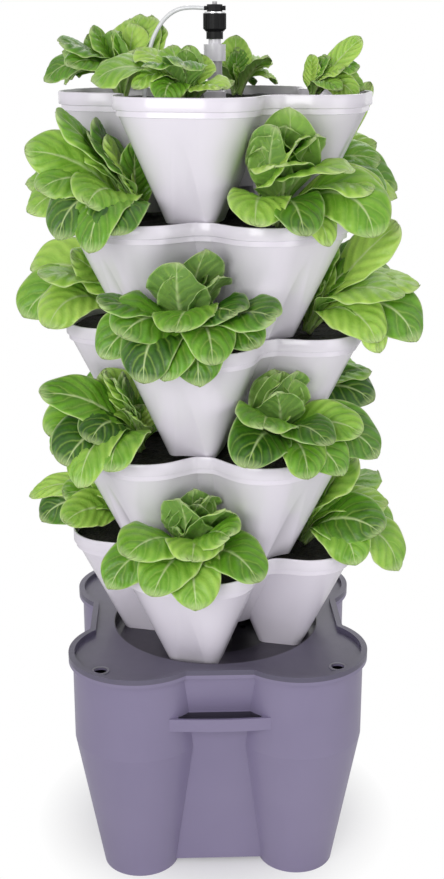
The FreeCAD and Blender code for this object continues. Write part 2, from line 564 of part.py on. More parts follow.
def riser():
    """Add the riser pipe, its head adapter, the barrel and the turning collar."""
    length = f"{ADAPTER_LEVEL} + adapter_insert - {PIPE_FOOT}"
    outer = cylinder("pipe_outer", "pipe_radius", length, z=PIPE_FOOT)
    node(cut("pipe", outer, cylinder("pipe_bore", "pipe_bore_radius", f"2 * ({length})", z="0")), "riser_pipe")
    inner, wide = "pipe_radius + socket_fit", "adapter_radius"
    seam, waist = "adapter_length * 0.62", "adapter_radius - seam_groove"
    head = turned("head_adapter", (
        (inner, 0), (wide, 0), (wide, seam), (waist, seam), (waist, f"{seam} + seam_groove"),
        (wide, f"{seam} + seam_groove"), (wide, "adapter_length"), ("neck_radius", "adapter_length"),
        ("neck_radius", "adapter_length + neck_length"), ("water_bore", "adapter_length + neck_length"),
        ("water_bore", "adapter_insert"), (inner, "adapter_insert")), "head_adapter")
    place(head, z=ADAPTER_LEVEL)
    top = "barrel_length + collar_length"
    place(turned("barrel", (
        ("water_bore", 0), ("barrel_radius", 0), ("barrel_radius", "barrel_length"),
        ("spigot_radius", "barrel_length"), ("spigot_radius", top), ("water_bore", top)), "head_barrel"),
        z=BARREL_LEVEL)
    base, tip = "collar_fit", "collar_length - collar_fit"
    bore = "spigot_radius + collar_fit"
    sleeve = doc.addObject("Part::Cut", "collar_sleeve")
    low = cone("collar_low", "collar_radius - collar_chamfer", "collar_radius", "collar_chamfer", z=base)
    high = cylinder("collar_high", "collar_radius", f"{tip} - {base} - collar_chamfer", z=f"{base} + collar_chamfer")
    sleeve.Base = fuse("collar_form", [low, high])
    sleeve.Tool = cylinder("collar_bore", bore, "2 * collar_length", z="-collar_length / 2")
    groove = box("collar_groove", "rib_cut", "rib_cut", "collar_length - collar_chamfer", x="collar_radius + rib_cut / 4",
                 z="collar_chamfer")
    place(node(cut("collar", sleeve, around("grooves", groove, 24)), "lock_collar"),
          z=f"{BARREL_LEVEL} + barrel_length")


def drip_head():
    """Add the washer ring, the faceted cap with its lug and barb, and the nib."""
    washer = cut("washer", cylinder("washer_outer", "ring_radius", "ring_length", z=RING_LEVEL),
                 cylinder("washer_bore", "water_bore", "3 * ring_length", z=f"{RING_LEVEL} - ring_length"))
    node(washer, "head_washer")
    level = f"({RING_LEVEL} + ring_length)"
    cap = bind(doc.addObject("Part::Prism", "cap_block"), Circumradius="cap_radius", Height="cap_length")
    cap.Polygon = 8
    place(cap, z=level)
    lug = cylinder("cap_lug", "lug_radius", "cap_radius + lug_length / 2", axis=(0, 1, 0), turn="90",
                   z=f"{level} + cap_length / 2")
    barb = cylinder("cap_barb", "barb_radius", "cap_radius + barb_length", axis=(0, 1, 0), turn="90",
                    z=f"{level} + cap_length / 2")
    aimed = doc.addObject("Part::Compound", "aimed_barb")
    aimed.Links = [barb]
    place(aimed, axis=(0, 0, 1), turn="180 + odd_turn")
    hole = cylinder("cap_bore", "water_bore", "cap_length / 2", z=level)
    node(cut("cap", fuse("cap_form", [cap, lug, aimed]), hole), "drip_cap")
    node(cylinder("nib", "nib_radius", "nib_length", z=f"{level} + cap_length"), "cap_nib")


def drip_tube():
    """Add the drip tube, which arches from the cap's barb down into a pocket of the top tier.

    Each point is its reach from the tower's axis and its height over the barb's end.
    """
    start = size("cap_radius + barb_length + tube_gap")
    level = size(f"{RING_LEVEL} + ring_length + cap_length / 2")
    route = ((0, 0), (29, 3), (57, -10), (77, -39), (86, -73), (89, -107), (91, -125))
    heading = math.radians(180 + size("odd_turn"))
    points = [FreeCAD.Vector((start + reach) * math.cos(heading), (start + reach) * math.sin(heading), level + rise)
              for reach, rise in route]
    edges, radii, pen = [], [], points[0]
    for before, corner, after in zip(points, points[1:], points[2:]):
        back, ahead = (before - corner), (after - corner)
        turn = math.pi - back.getAngle(ahead)
        take = 0.45 * min(back.Length, ahead.Length)
        radius = take / math.tan(turn / 2)
        back.normalize()
        ahead.normalize()
        enter, leave = corner + back * take, corner + ahead * take
        bisector = (back + ahead).normalize()
        middle = corner + bisector * (radius / math.cos(turn / 2) - radius)
        edges += [Part.LineSegment(pen, enter).toShape(), Part.Arc(enter, middle, leave).toShape()]
        radii.append(radius)
        pen = leave
    edges.append(Part.LineSegment(pen, points[-1]).toShape())
    path = Part.Wire(edges)
    sides = 12
    ahead = (points[1] - points[0]).normalize()
    across = ahead.cross(FreeCAD.Vector(0, 0, 1)).normalize() * size("tube_radius")
    spin = FreeCAD.Rotation(ahead, 360 / sides)
    ring = [points[0] + across]
    for _ in range(sides):
        across = spin.multVec(across)
        ring.append(points[0] + across)
    mouth = Part.makePolygon(ring[:-1] + [ring[0]])
    tube = path.makePipeShell([mouth], True, False)
    expected = Part.Face(mouth).Area * path.Length
    print("drip tube radii", [round(radius, 1) for radius in radii], "volume ratio", round(tube.Volume / expected, 4))
    feature = doc.addObject("Part::Feature", "drip_tube")
    feature.Shape = tube
    node(feature, "drip_tube")


def tier_place(number):
    """Return a tier's placement: its level in the stack and its turn."""
    turn = size("odd_turn") if number % 2 else size("even_turn")
    level = size("lid_top - ledge_depth") + size("tier_height - tier_nest") * (number - 1)
    return FreeCAD.Placement(FreeCAD.Vector(0, 0, level), FreeCAD.Rotation(FreeCAD.Vector(0, 0, 1), turn))


def garden():
    """Stack five tiers, each with its growing medium and four lettuces."""
    inside = tier_hollow()
    shell, filling = tier(inside), medium(inside)
    doc.recompute()
    plants = lettuce(), lettuce()
    plants = plants[0], plants[1].mirror(FreeCAD.Vector(), FreeCAD.Vector(0, 1, 0))
    reach, level = size("plant_reach"), size("tier_height - soil_gap")
    for number in range(1, 6):
        where = tier_place(number)
        copy_of(shell, f"planter_tier_{number}", where)
        copy_of(filling, f"growing_medium_{number}", where)
        for quarter, side in enumerate(("right", "back", "left", "front")):
            turn = FreeCAD.Rotation(FreeCAD.Vector(0, 0, 1), 90 * quarter)
            spot = FreeCAD.Placement(turn.multVec(FreeCAD.Vector(reach, 0, level)), turn)
            feature = doc.addObject("Part::Feature", f"lettuce_{number}_{side}")
            feature.Shape = plants[(number + 1) % 2]
            feature.Placement = where.multiply(spot)
            node(feature, f"lettuce_{number}_{side}")


tank()
lid()
grommets()
pump()
rotor()
intake_cover()
pump_fittings()
riser()
drip_head()
drip_tube()
garden()
doc.recompute()

failed = [item.Name for item in doc.Objects if {"Invalid", "Error"} & set(item.State)]
if failed:
    raise RuntimeError(f"failed objects: {failed}")
for piece in nodes:
    if piece.Shape.isNull() or not piece.Shape.isValid():
        raise RuntimeError(f"bad shape: {piece.Label}")
os.makedirs("parts", exist_ok=True)
for piece in nodes:
    piece.Shape.exportStep(f"parts/{piece.Label}.step")
print(len(nodes), "nodes written")
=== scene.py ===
"""The vertical planter tower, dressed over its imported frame.

Lengths are in metres. The tower stands on the floor plane at the origin with +Z up its riser, and
its front panel faces -Y. Each sub-assembly is a class, and main() builds them from the floor up.
"""

import logging
import math
from dataclasses import dataclass, field, replace
from enum import Enum
from typing import ClassVar, Dict, List, Optional, Sequence, Tuple

import bpy
import numpy as np
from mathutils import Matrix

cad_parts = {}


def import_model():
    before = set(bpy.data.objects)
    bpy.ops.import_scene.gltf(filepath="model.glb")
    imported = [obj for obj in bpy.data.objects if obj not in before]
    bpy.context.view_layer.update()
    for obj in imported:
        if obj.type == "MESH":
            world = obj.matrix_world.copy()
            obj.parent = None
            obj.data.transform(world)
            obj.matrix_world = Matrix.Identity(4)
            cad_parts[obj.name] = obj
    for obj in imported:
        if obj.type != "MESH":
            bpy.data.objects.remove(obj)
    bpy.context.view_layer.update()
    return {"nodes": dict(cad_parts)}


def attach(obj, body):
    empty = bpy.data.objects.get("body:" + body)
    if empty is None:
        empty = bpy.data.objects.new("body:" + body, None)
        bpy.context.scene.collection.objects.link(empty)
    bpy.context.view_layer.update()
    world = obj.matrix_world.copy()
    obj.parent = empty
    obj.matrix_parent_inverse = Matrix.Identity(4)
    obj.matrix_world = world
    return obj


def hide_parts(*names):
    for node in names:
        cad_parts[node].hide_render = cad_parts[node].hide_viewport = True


LOG = logging.getLogger("planter_tower")
Colour = Tuple[float, float, float]
Point = Tuple[float, float, float]
Socket = bpy.types.NodeSocket
SIDE_VEINS = 8
VEIN_SWEEP = 0.28


class Quarter(Enum):
    """The four pockets of a tier, by their turn from the tier's own +X."""

    RIGHT = 0
    BACK = 1
    LEFT = 2
    FRONT = 3

    @property
    def word(self) -> str:
        """Return the pocket's word in the node names."""
        return self.name.lower()

    @property
    def turn(self) -> float:
        """Return the pocket's turn in radians."""
        return self.value * math.pi / 2


class Whorl(Enum):
    """The rows of leaves of a lettuce, from the oldest to the youngest."""

    OUTER = 0
    SECOND = 1
    MIDDLE = 2
    INNER = 3
    HEART = 4


# ---------------------------------------------------------------- meshes


@dataclass
class Shell:
    """A closed surface as arrays: points, faces, and the map and values at the points."""

    points: np.ndarray
    quads: np.ndarray
    tris: np.ndarray = field(default_factory=lambda: np.zeros((0, 3), int))
    uv: Optional[np.ndarray] = None
    values: Dict[str, np.ndarray] = field(default_factory=dict)

    def outward(self) -> "Shell":
        """Turn the faces outwards: the signed volume of a closed surface is positive when they are.

        Returns:
            This surface.
        """
        triangles = np.concatenate([self.quads[:, [0, 1, 2]], self.quads[:, [0, 2, 3]], self.tris])
        corners = self.points[triangles]
        volume = np.einsum("ij,ij->i", corners[:, 0], np.cross(corners[:, 1], corners[:, 2])).sum()
        if volume < 0:
            self.quads, self.tris = self.quads[:, ::-1], self.tris[:, ::-1]
        return self

    def turned(self, angle: float) -> "Shell":
        """Return this surface turned about Z by an angle in radians."""
        return replace(self, points=turn_about_z(self.points, angle))

    def moved(self, offset: Sequence[float]) -> "Shell":
        """Return this surface moved by an offset in metres."""
        return replace(self, points=self.points + np.asarray(offset, float))


def turn_about_z(points: np.ndarray, angle: float) -> np.ndarray:
    """Return points turned about Z by an angle in radians."""
    cos, sin = math.cos(angle), math.sin(angle)
    return points @ np.array([[cos, sin, 0], [-sin, cos, 0], [0, 0, 1]])


def joined(shells: Sequence[Shell]) -> Shell:
    """Join several surfaces in one.

    Args:
        shells: The surfaces, which all have the same named values.

    Returns:
        One surface with every face.
    """
    starts = np.cumsum([0] + [len(shell.points) for shell in shells[:-1]])
    return Shell(
        np.concatenate([shell.points for shell in shells]),
        np.concatenate([shell.quads + start for shell, start in zip(shells, starts)]),
        np.concatenate([shell.tris + start for shell, start in zip(shells, starts)]),
        None if shells[0].uv is None else np.concatenate([shell.uv for shell in shells]),
        {name: np.concatenate([shell.values[name] for shell in shells])
         for name in shells[0].values})


def grid_quads(rows: int, columns: int, wrap_rows: bool = False,
               wrap_columns: bool = False) -> np.ndarray:
    """Return the quads of a grid of points, in which point (i, j) has the number i * columns + j.

    Args:
        rows: The number of rows.
        columns: The number of columns.
        wrap_rows: Whether the last row meets the first.
        wrap_columns: Whether the last column meets the first.

    Returns:
        Four point numbers for each face.
    """
    row = np.arange(rows if wrap_rows else rows - 1)
    column = np.arange(columns if wrap_columns else columns - 1)
    row, column = np.meshgrid(row, column, indexing="ij")
    below, beside = (row + 1) % rows, (column + 1) % columns
    corners = [row * columns + column, row * columns + beside,
               below * columns + beside, below * columns + column]
    return np.stack([corner.ravel() for corner in corners], axis=1)


def skin_of(loops: np.ndarray) -> Shell:
    """Return the surface through a stack of closed loops, closed at both ends by fans.

    Args:
        loops: Points as (loops, points in a loop, 3).

    Returns:
        The surface, with its faces outwards.
    """
    rows, columns = loops.shape[:2]
    ring, last = np.arange(columns), (rows - 1) * columns
    beside = (ring + 1) % columns
    low, high = np.full(columns, rows * columns), np.full(columns, rows * columns + 1)
    fans = np.concatenate([np.stack([low, beside, ring], axis=1),
                           np.stack([last + ring, last + beside, high], axis=1)])
    points = np.concatenate([loops.reshape(-1, 3), loops[[0, -1]].mean(axis=1)])
    return Shell(points, grid_quads(rows, columns, wrap_columns=True), fans).outward()


def revolved(profile: Sequence[Tuple[float, float]], steps: int = 64) -> Shell:
    """Carry a closed profile round the Z axis.

    Each point is (r cos a, r sin a, z) for even steps of a.

    Args:
        profile: The profile's points as (radius, height).
        steps: The number of steps round the axis.

    Returns:
        The surface, with its faces outwards.
    """
    angle = np.linspace(0, 2 * np.pi, steps, endpoint=False)
    radius, height = np.asarray(profile, float).T
    points = np.stack([np.outer(np.cos(angle), radius), np.outer(np.sin(angle), radius),
                       np.tile(height, (steps, 1))], axis=-1)
    return Shell(points.reshape(-1, 3), grid_quads(steps, len(radius), True, True)).outward()


def make_piece(name: str, shell: Shell, finish: bpy.types.Material, body: str,
               replaces: Sequence[str] = (),
               smooth_angle: Optional[float] = None) -> bpy.types.Object:
    """Make a Blender object of a surface, dress it and hang it on its body.

    Args:
        name: The object's name.
        shell: The surface, in the object's own place.
        finish: The material.
        body: The body that the piece moves with.
        replaces: The frame's nodes that the piece stands for.
        smooth_angle: The angle in degrees over which an edge stays sharp, or None for smooth all
            over.

    Returns:
        The object.
    """
    mesh = bpy.data.meshes.new(name)
    sizes = np.concatenate([np.full(len(shell.quads), 4), np.full(len(shell.tris), 3)])
    corners = np.concatenate([shell.quads.ravel(), shell.tris.ravel()])
    mesh.vertices.add(len(shell.points))
    mesh.loops.add(len(corners))
    mesh.polygons.add(len(sizes))
    mesh.vertices.foreach_set("co", shell.points.astype(np.float32).ravel())
    mesh.loops.foreach_set("vertex_index", corners)
    mesh.polygons.foreach_set("loop_start", np.concatenate([[0], np.cumsum(sizes)[:-1]]))
    mesh.polygons.foreach_set("use_smooth", np.ones(len(sizes), bool))
    if shell.uv is not None:
        layer = mesh.uv_layers.new(name="UVMap")
        layer.data.foreach_set("uv", shell.uv[corners].astype(np.float32).ravel())
    for label, values in shell.values.items():
        mesh.attributes.new(label, "FLOAT", "POINT").data.foreach_set(
            "value", values.astype(np.float32))
    mesh.update(calc_edges=True)
    mesh.validate()
    if smooth_angle is not None:
        mesh.set_sharp_from_angle(angle=math.radians(smooth_angle))
    mesh.materials.append(finish)
    piece = bpy.data.objects.new(name, mesh)
    bpy.context.scene.collection.objects.link(piece)
    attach(piece, body)
    if replaces:
        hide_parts(*replaces)
    LOG.info("%s: %d points on %s", name, len(shell.points), body)
    return piece


# ---------------------------------------------------------------- finishes


class Graph:
    """A node tree under way, with short calls to add and wire its nodes."""

    def __init__(self, tree: bpy.types.NodeTree) -> None:
        """Work on a node tree."""
        self.tree = tree

    def join(self, target: Socket, value: object) -> None:
        """Feed an input.

        Args:
            target: The input.
            value: A socket to link to it, or its constant.
        """
        if isinstance(value, Socket):
            self.tree.links.new(value, target)
        else:
            target.default_value = value

    def wire(self, node: bpy.types.Node, **inputs: object) -> None:
        """Link or set a node's inputs by their names, with underscores for spaces."""
        for key, value in inputs.items():
            self.join(node.inputs[key.replace("_", " ")], value)

    def add(self, kind: str, **values: object) -> bpy.types.Node:
        """Add one shader node.

        Args:
            kind: The node's type, without the word ShaderNode.
            values: The node's own settings under lower-case keys, and its inputs under capitalised
                ones.

        Returns:
            The node.
        """
        node = self.tree.nodes.new(f"ShaderNode{kind}")
        for key in filter(str.islower, values):
            setattr(node, key, values[key])
        self.wire(node, **{key: value for key, value in values.items() if not key.islower()})
        return node

    def maths(self, operation: str, *values: object) -> Socket:
        """Add a Math node.

        Args:
            operation: The node's operation.
            values: Up to three sockets or numbers.

        Returns:
            The node's result.
        """
        node = self.add("Math", operation=operation)
        for target, value in zip(node.inputs, values):
            self.join(target, value)
        return node.outputs[0]

    def place(self) -> Socket:
        """Return the object coordinates."""
        return self.add("TexCoord").outputs["Object"]

    def noise(self, place: Socket, scale: object, detail: float = 2.0) -> Socket:
        """Return a noise texture's value."""
        return self.add("TexNoise", Vector=place, Scale=scale, Detail=detail).outputs["Fac"]

    def shared(self, tree: bpy.types.NodeTree, **values: float) -> bpy.types.NodeOutputs:
        """Place a shared group and return its outputs."""
        return self.add("Group", node_tree=tree, **values).outputs


class Group(Graph):
    """A shader node group under way, whose sockets all carry numbers."""

    def __init__(self, name: str, outputs: Sequence[str], **inputs: float) -> None:
        """Start a group.

        Args:
            name: The group's name.
            outputs: The outputs' names.
            inputs: Each input's default under its name, with underscores for spaces.
        """
        super().__init__(bpy.data.node_groups.new(name, "ShaderNodeTree"))
        for label, value in inputs.items():
            self._socket(label.replace("_", " "), "INPUT").default_value = value
        for label in outputs:
            self._socket(label, "OUTPUT")
        self.given = self.tree.nodes.new("NodeGroupInput").outputs
        self.end = self.tree.nodes.new("NodeGroupOutput")

    def _socket(self, label: str, side: str) -> bpy.types.NodeTreeInterfaceSocket:
        """Add one number socket to the group's interface."""
        return self.tree.interface.new_socket(label, in_out=side, socket_type="NodeSocketFloat")


class Effects:
    """The shader groups that several finishes share, each built once."""

    def __init__(self) -> None:
        """Build the groups."""
        self.moulded = self._moulded()
        self.leaf = self._leaf()
        self.crumb = self._crumb()
        self.zone = self._zone()

    @staticmethod
    def _moulded() -> bpy.types.NodeTree:
        """Build moulded plastic: wide clouds of tone, fine grain, and scuffs drawn out upwards.

        Returns:
            The group.
        """
        group = Group("moulded_skin", ("Cloud", "Scuff", "Height"),
                      Cloud_Size=6.0, Grain_Size=900.0, Streak=0.3)
        place, given = group.place(), group.given
        drawn = group.add("Mapping", Vector=place, Scale=(1, 1, 0.12)).outputs["Vector"]
        scuff, grain = group.noise(drawn, 60, 6), group.noise(place, given["Grain Size"])
        group.wire(group.end, Cloud=group.noise(place, given["Cloud Size"], 3), Scuff=scuff,
                   Height=group.maths("MULTIPLY_ADD", scuff, given["Streak"], grain))
        return group.tree

    @staticmethod
    def _zone() -> bpy.types.NodeTree:
        """Build a mask of 1 within limits of |x|, |y|, the distance from the Z axis and the height.

        Returns:
            The group.
        """
        # The mask places a painted tone on a moulding: painted shade in hollows and a lit tone on a
        # band.
        group = Group("hollow_zone", ("Mask",),
                      Half_X=1.0, Half_Y=1.0, Radius=1.0, Low=0.0, High=1.0)
        size = group.add("VectorMath", operation="ABSOLUTE", Vector=group.place()).outputs["Vector"]
        parts = group.add("SeparateXYZ", Vector=size).outputs
        flat = group.add("CombineXYZ", X=parts["X"], Y=parts["Y"]).outputs["Vector"]
        reach = group.add("VectorMath", operation="LENGTH", Vector=flat).outputs["Value"]
        tests = ((parts["X"], "LESS_THAN", "Half X"), (parts["Y"], "LESS_THAN", "Half Y"),
                 (reach, "LESS_THAN", "Radius"), (parts["Z"], "LESS_THAN", "High"),
                 (parts["Z"], "GREATER_THAN", "Low"))
        mask = 1.0
        for value, kind, limit in tests:
            mask = group.maths("MULTIPLY", mask, group.maths(kind, value, group.given[limit]))
        group.wire(group.end, Mask=mask)
        return group.tree

    @staticmethod
    def _leaf() -> bpy.types.NodeTree:
        """Build leaf veins from the leaf's own map: U runs from stalk to tip and V across.

        The midrib is where |2V - 1| is small, and it narrows towards the tip. The side veins are
        thin lines of a wave in U - VEIN_SWEEP |2V - 1|, so they sweep forwards to the edge, and a
        slow noise lets them wander. The tone of the swells between the veins is painted shade and a
        painted highlight: darker by the veins, lighter on the swells. Margin is a hem along the
        edge and the tip. Height is the swells with a fine net of cells over them.

        Returns:
            The group.
        """
        group = Group("leaf_veins", ("Midrib", "Vein", "Quilt", "Margin", "Height"),
                      Vein_Count=SIDE_VEINS)
        place, maths = group.place(), group.maths
        parts = group.add("SeparateXYZ", Vector=group.add("UVMap").outputs["UV"]).outputs
        along, across = parts["X"], maths("ABSOLUTE", maths("MULTIPLY_ADD", parts["Y"], 2, -1))
        rib_width = maths("MULTIPLY_ADD", along, -0.15, 0.17)
        off_rib = maths("SMOOTH_MIN", maths("DIVIDE", across, rib_width), 1, 0.3)
        swept = maths("MULTIPLY", maths("SUBTRACT", along, maths("MULTIPLY", across, VEIN_SWEEP)),
                      group.given["Vein Count"])
        wander = maths("MULTIPLY_ADD", group.noise(place, 32), 0.9, -0.45)
        phase = maths("MULTIPLY", maths("ADD", swept, wander), math.pi)
        wave = maths("ABSOLUTE", maths("SINE", phase))
        line = maths("POWER", maths("SUBTRACT", 1, wave), 3.2)
        fade = maths("MULTIPLY_ADD", across, -0.6, 1)
        hem = maths("MAXIMUM", maths("SUBTRACT", maths("MAXIMUM", across, along), 0.92), 0)
        cells = group.add("TexVoronoi", feature="DISTANCE_TO_EDGE", Vector=place, Scale=150)
        net = maths("MULTIPLY", maths("MINIMUM", cells.outputs["Distance"], 0.22), 0.7)
        # The swells' tone is painted shade by the veins and a painted highlight on the swells
        # between them.
        group.wire(group.end,
                   Midrib=maths("SUBTRACT", 1, off_rib),
                   Vein=maths("MULTIPLY", line, fade),
                   Margin=maths("MULTIPLY", hem, 12.5),
                   Quilt=maths("MULTIPLY_ADD", wave, 0.24, -0.16),
                   Height=maths("MULTIPLY_ADD", maths("MULTIPLY", wave, wave), 0.9, net))
        return group.tree

    @staticmethod
    def _crumb() -> bpy.types.NodeTree:
        """Build loose compost: cells for the crumbs, and noise for their tone.

        Returns:
            The group.
        """
        group = Group("compost_crumb", ("Tone", "Height"), Crumb_Size=260.0)
        place = group.place()
        cells = group.add("TexVoronoi", Vector=place, Scale=group.given["Crumb Size"])
        tone = group.noise(place, 90, 8)
        height = group.maths("ADD", cells.outputs["Distance"], tone)
        group.wire(group.end, Tone=tone, Height=height)
        return group.tree


class Finish(Graph):
    """A material under way."""

    # The places of a Mix node's colour sockets, whose names its other kinds of socket share.
    COLOUR_A, COLOUR_B, COLOUR_OUT = 6, 7, 2

    def __init__(self, name: str) -> None:
        """Start a material with a Principled shader.

        Args:
            name: The material's name.
        """
        self.material = bpy.data.materials.new(name)
        self.material.use_nodes = True
        super().__init__(self.material.node_tree)
        self.shader = self.tree.nodes["Principled BSDF"]

    def set(self, **values: object) -> None:
        """Link or set the shader's own inputs."""
        self.wire(self.shader, **values)

    def ramp(self, source: Socket, *stops: Tuple[float, Colour]) -> Socket:
        """Add a colour ramp.

        Args:
            source: The value that the ramp reads.
            stops: Each stop's place and colour.

        Returns:
            The colour.
        """
        node = self.add("ValToRGB", Fac=source)
        elements = node.color_ramp.elements
        while len(elements) < len(stops):
            elements.new(0.5)
        for element, (place, colour) in zip(elements, stops):
            element.position, element.color = place, (*colour, 1)
        return node.outputs["Color"]

    def blend(self, amount: Socket, first: object, second: object) -> Socket:
        """Mix two colours.

        Args:
            amount: The share of the second colour.
            first: A socket or a plain colour.
            second: A socket or a plain colour.

        Returns:
            The mixed colour.
        """
        node = self.add("Mix", data_type="RGBA", Factor=amount)
        for index, value in ((self.COLOUR_A, first), (self.COLOUR_B, second)):
            self.join(node.inputs[index], (*value, 1) if isinstance(value, tuple) else value)
        return node.outputs[self.COLOUR_OUT]

    def range(self, source: Socket, low: float, high: float) -> Socket:
        """Return a value in 0..1 mapped to low..high."""
        return self.add("MapRange", Value=source, To_Min=low, To_Max=high).outputs["Result"]

    def bump(self, height: Socket, strength: float, distance: float) -> None:
        """Feed a height to the shader's normal."""
        node = self.add("Bump", Height=height, Strength=strength, Distance=distance)
        self.set(Normal=node.outputs["Normal"])


@dataclass(frozen=True)
class Zone:
    """A part of a moulding painted in a tone of its own: painted shade in a hollow, a lit tone on a
    band.
    """

    colour: Colour
    low: float
    high: float
    radius: float = 1.0
    half_x: float = 1.0
    half_y: float = 1.0


@dataclass(frozen=True)
class MouldedPlastic:
    """A moulded or extruded plastic, rubber or drawn metal.

    The cloud and the grain are the scales of its noises, the streak is the scuffs' share of its
    height, the relief is that height in metres, and the gleam is its mirror level.
    """

    name: str
    colour: Colour
    worn: Colour
    roughness: Tuple[float, float]
    coat: float = 0.0
    cloud: float = 6.0
    grain: float = 900.0
    streak: float = 0.3
    relief: float = 0.00012
    metallic: float = 0.0
    gleam: float = 0.5
    # Each zone paints its own tone into one part of the moulding: painted shade in a hollow, a lit
    # tone on a band.
    zones: Tuple[Zone, ...] = ()

    def material(self, effects: Effects) -> bpy.types.Material:
        """Build the material: cloudy tone, scuffed gloss and fine grain.

        Args:
            effects: The shared groups.

        Returns:
            The material.
        """
        finish = Finish(self.name)
        skin = finish.shared(effects.moulded, Cloud_Size=self.cloud, Grain_Size=self.grain,
                             Streak=self.streak)
        tone = finish.ramp(skin["Cloud"], (0.35, self.colour), (0.72, self.worn))
        # Paint each zone's tone over its part: painted shade in the hollows and a lit tone on the
        # lid's band.
        for zone in self.zones:
            mask = finish.shared(effects.zone, Half_X=zone.half_x, Half_Y=zone.half_y,
                                 Radius=zone.radius, Low=zone.low, High=zone.high)
            tone = finish.blend(mask["Mask"], tone, zone.colour)
        finish.set(Base_Color=tone, Roughness=finish.range(skin["Scuff"], *self.roughness),
                   Coat_Weight=self.coat, Coat_Roughness=0.12, Metallic=self.metallic,
                   Specular_IOR_Level=self.gleam)
        finish.bump(skin["Height"], 0.35, self.relief)
        return finish.material


@dataclass(frozen=True)
class LeafFinish:
    """A lettuce leaf: deep to lime green by its tone, paler underneath, with a pale rib and hem."""

    name: str = "lettuce_leaf"
    deep: Colour = (0.020, 0.085, 0.006)
    mid: Colour = (0.15, 0.37, 0.022)
    lime: Colour = (0.50, 0.76, 0.13)
    rib: Colour = (0.60, 0.74, 0.34)
    under: Colour = (0.30, 0.50, 0.14)

    def material(self, effects: Effects) -> bpy.types.Material:
        """Build the material, which reads the leaf's map and its values for tone and side.

        Args:
            effects: The shared groups.

        Returns:
            The material.
        """
        finish = Finish(self.name)
        veins = finish.shared(effects.leaf, Vein_Count=SIDE_VEINS)
        tone, side = (finish.add("Attribute", attribute_name=name).outputs["Fac"]
                      for name in ("tone", "under"))
        clouds = finish.noise(finish.place(), 38, 4)
        total = finish.maths("ADD", tone, finish.maths("MULTIPLY_ADD", clouds, 0.5, -0.25))
        # Add the painted shade by the veins and the painted highlight on the swells to the leaf's
        # tone.
        green = finish.ramp(finish.maths("ADD", total, veins["Quilt"]),
                            (0.0, self.deep), (0.45, self.mid), (1.0, self.lime))
        faded = finish.blend(side, green, self.under)
        veined = finish.blend(finish.range(veins["Vein"], 0.0, 0.50), faded, self.lime)
        hemmed = finish.blend(finish.range(veins["Margin"], 0.0, 0.75), veined, self.rib)
        finish.set(Base_Color=finish.blend(veins["Midrib"], hemmed, self.rib),
                   Roughness=finish.range(clouds, 0.28, 0.50), Specular_IOR_Level=0.42,
                   Subsurface_Weight=0.12, Subsurface_Radius=(0.4, 0.8, 0.1),
                   Subsurface_Scale=0.003)
        finish.bump(veins["Height"], 0.7, 0.0013)
        return finish.material


@dataclass(frozen=True)
class CompostFinish:
    """Damp black growing medium."""

    name: str = "growing_medium"
    dark: Colour = (0.0035, 0.003, 0.0025)
    pale: Colour = (0.035, 0.026, 0.018)

    def material(self, effects: Effects) -> bpy.types.Material:
        """Build the material with crumbs of several tones.

        Args:
            effects: The shared groups.

        Returns:
            The material.
        """
        finish = Finish(self.name)
        crumb = finish.shared(effects.crumb, Crumb_Size=260.0)
        finish.set(Base_Color=finish.ramp(crumb["Tone"], (0.42, self.dark), (0.75, self.pale)),
                   Roughness=finish.range(crumb["Tone"], 0.75, 0.98))
        finish.bump(crumb["Height"], 0.9, 0.003)
        return finish.material


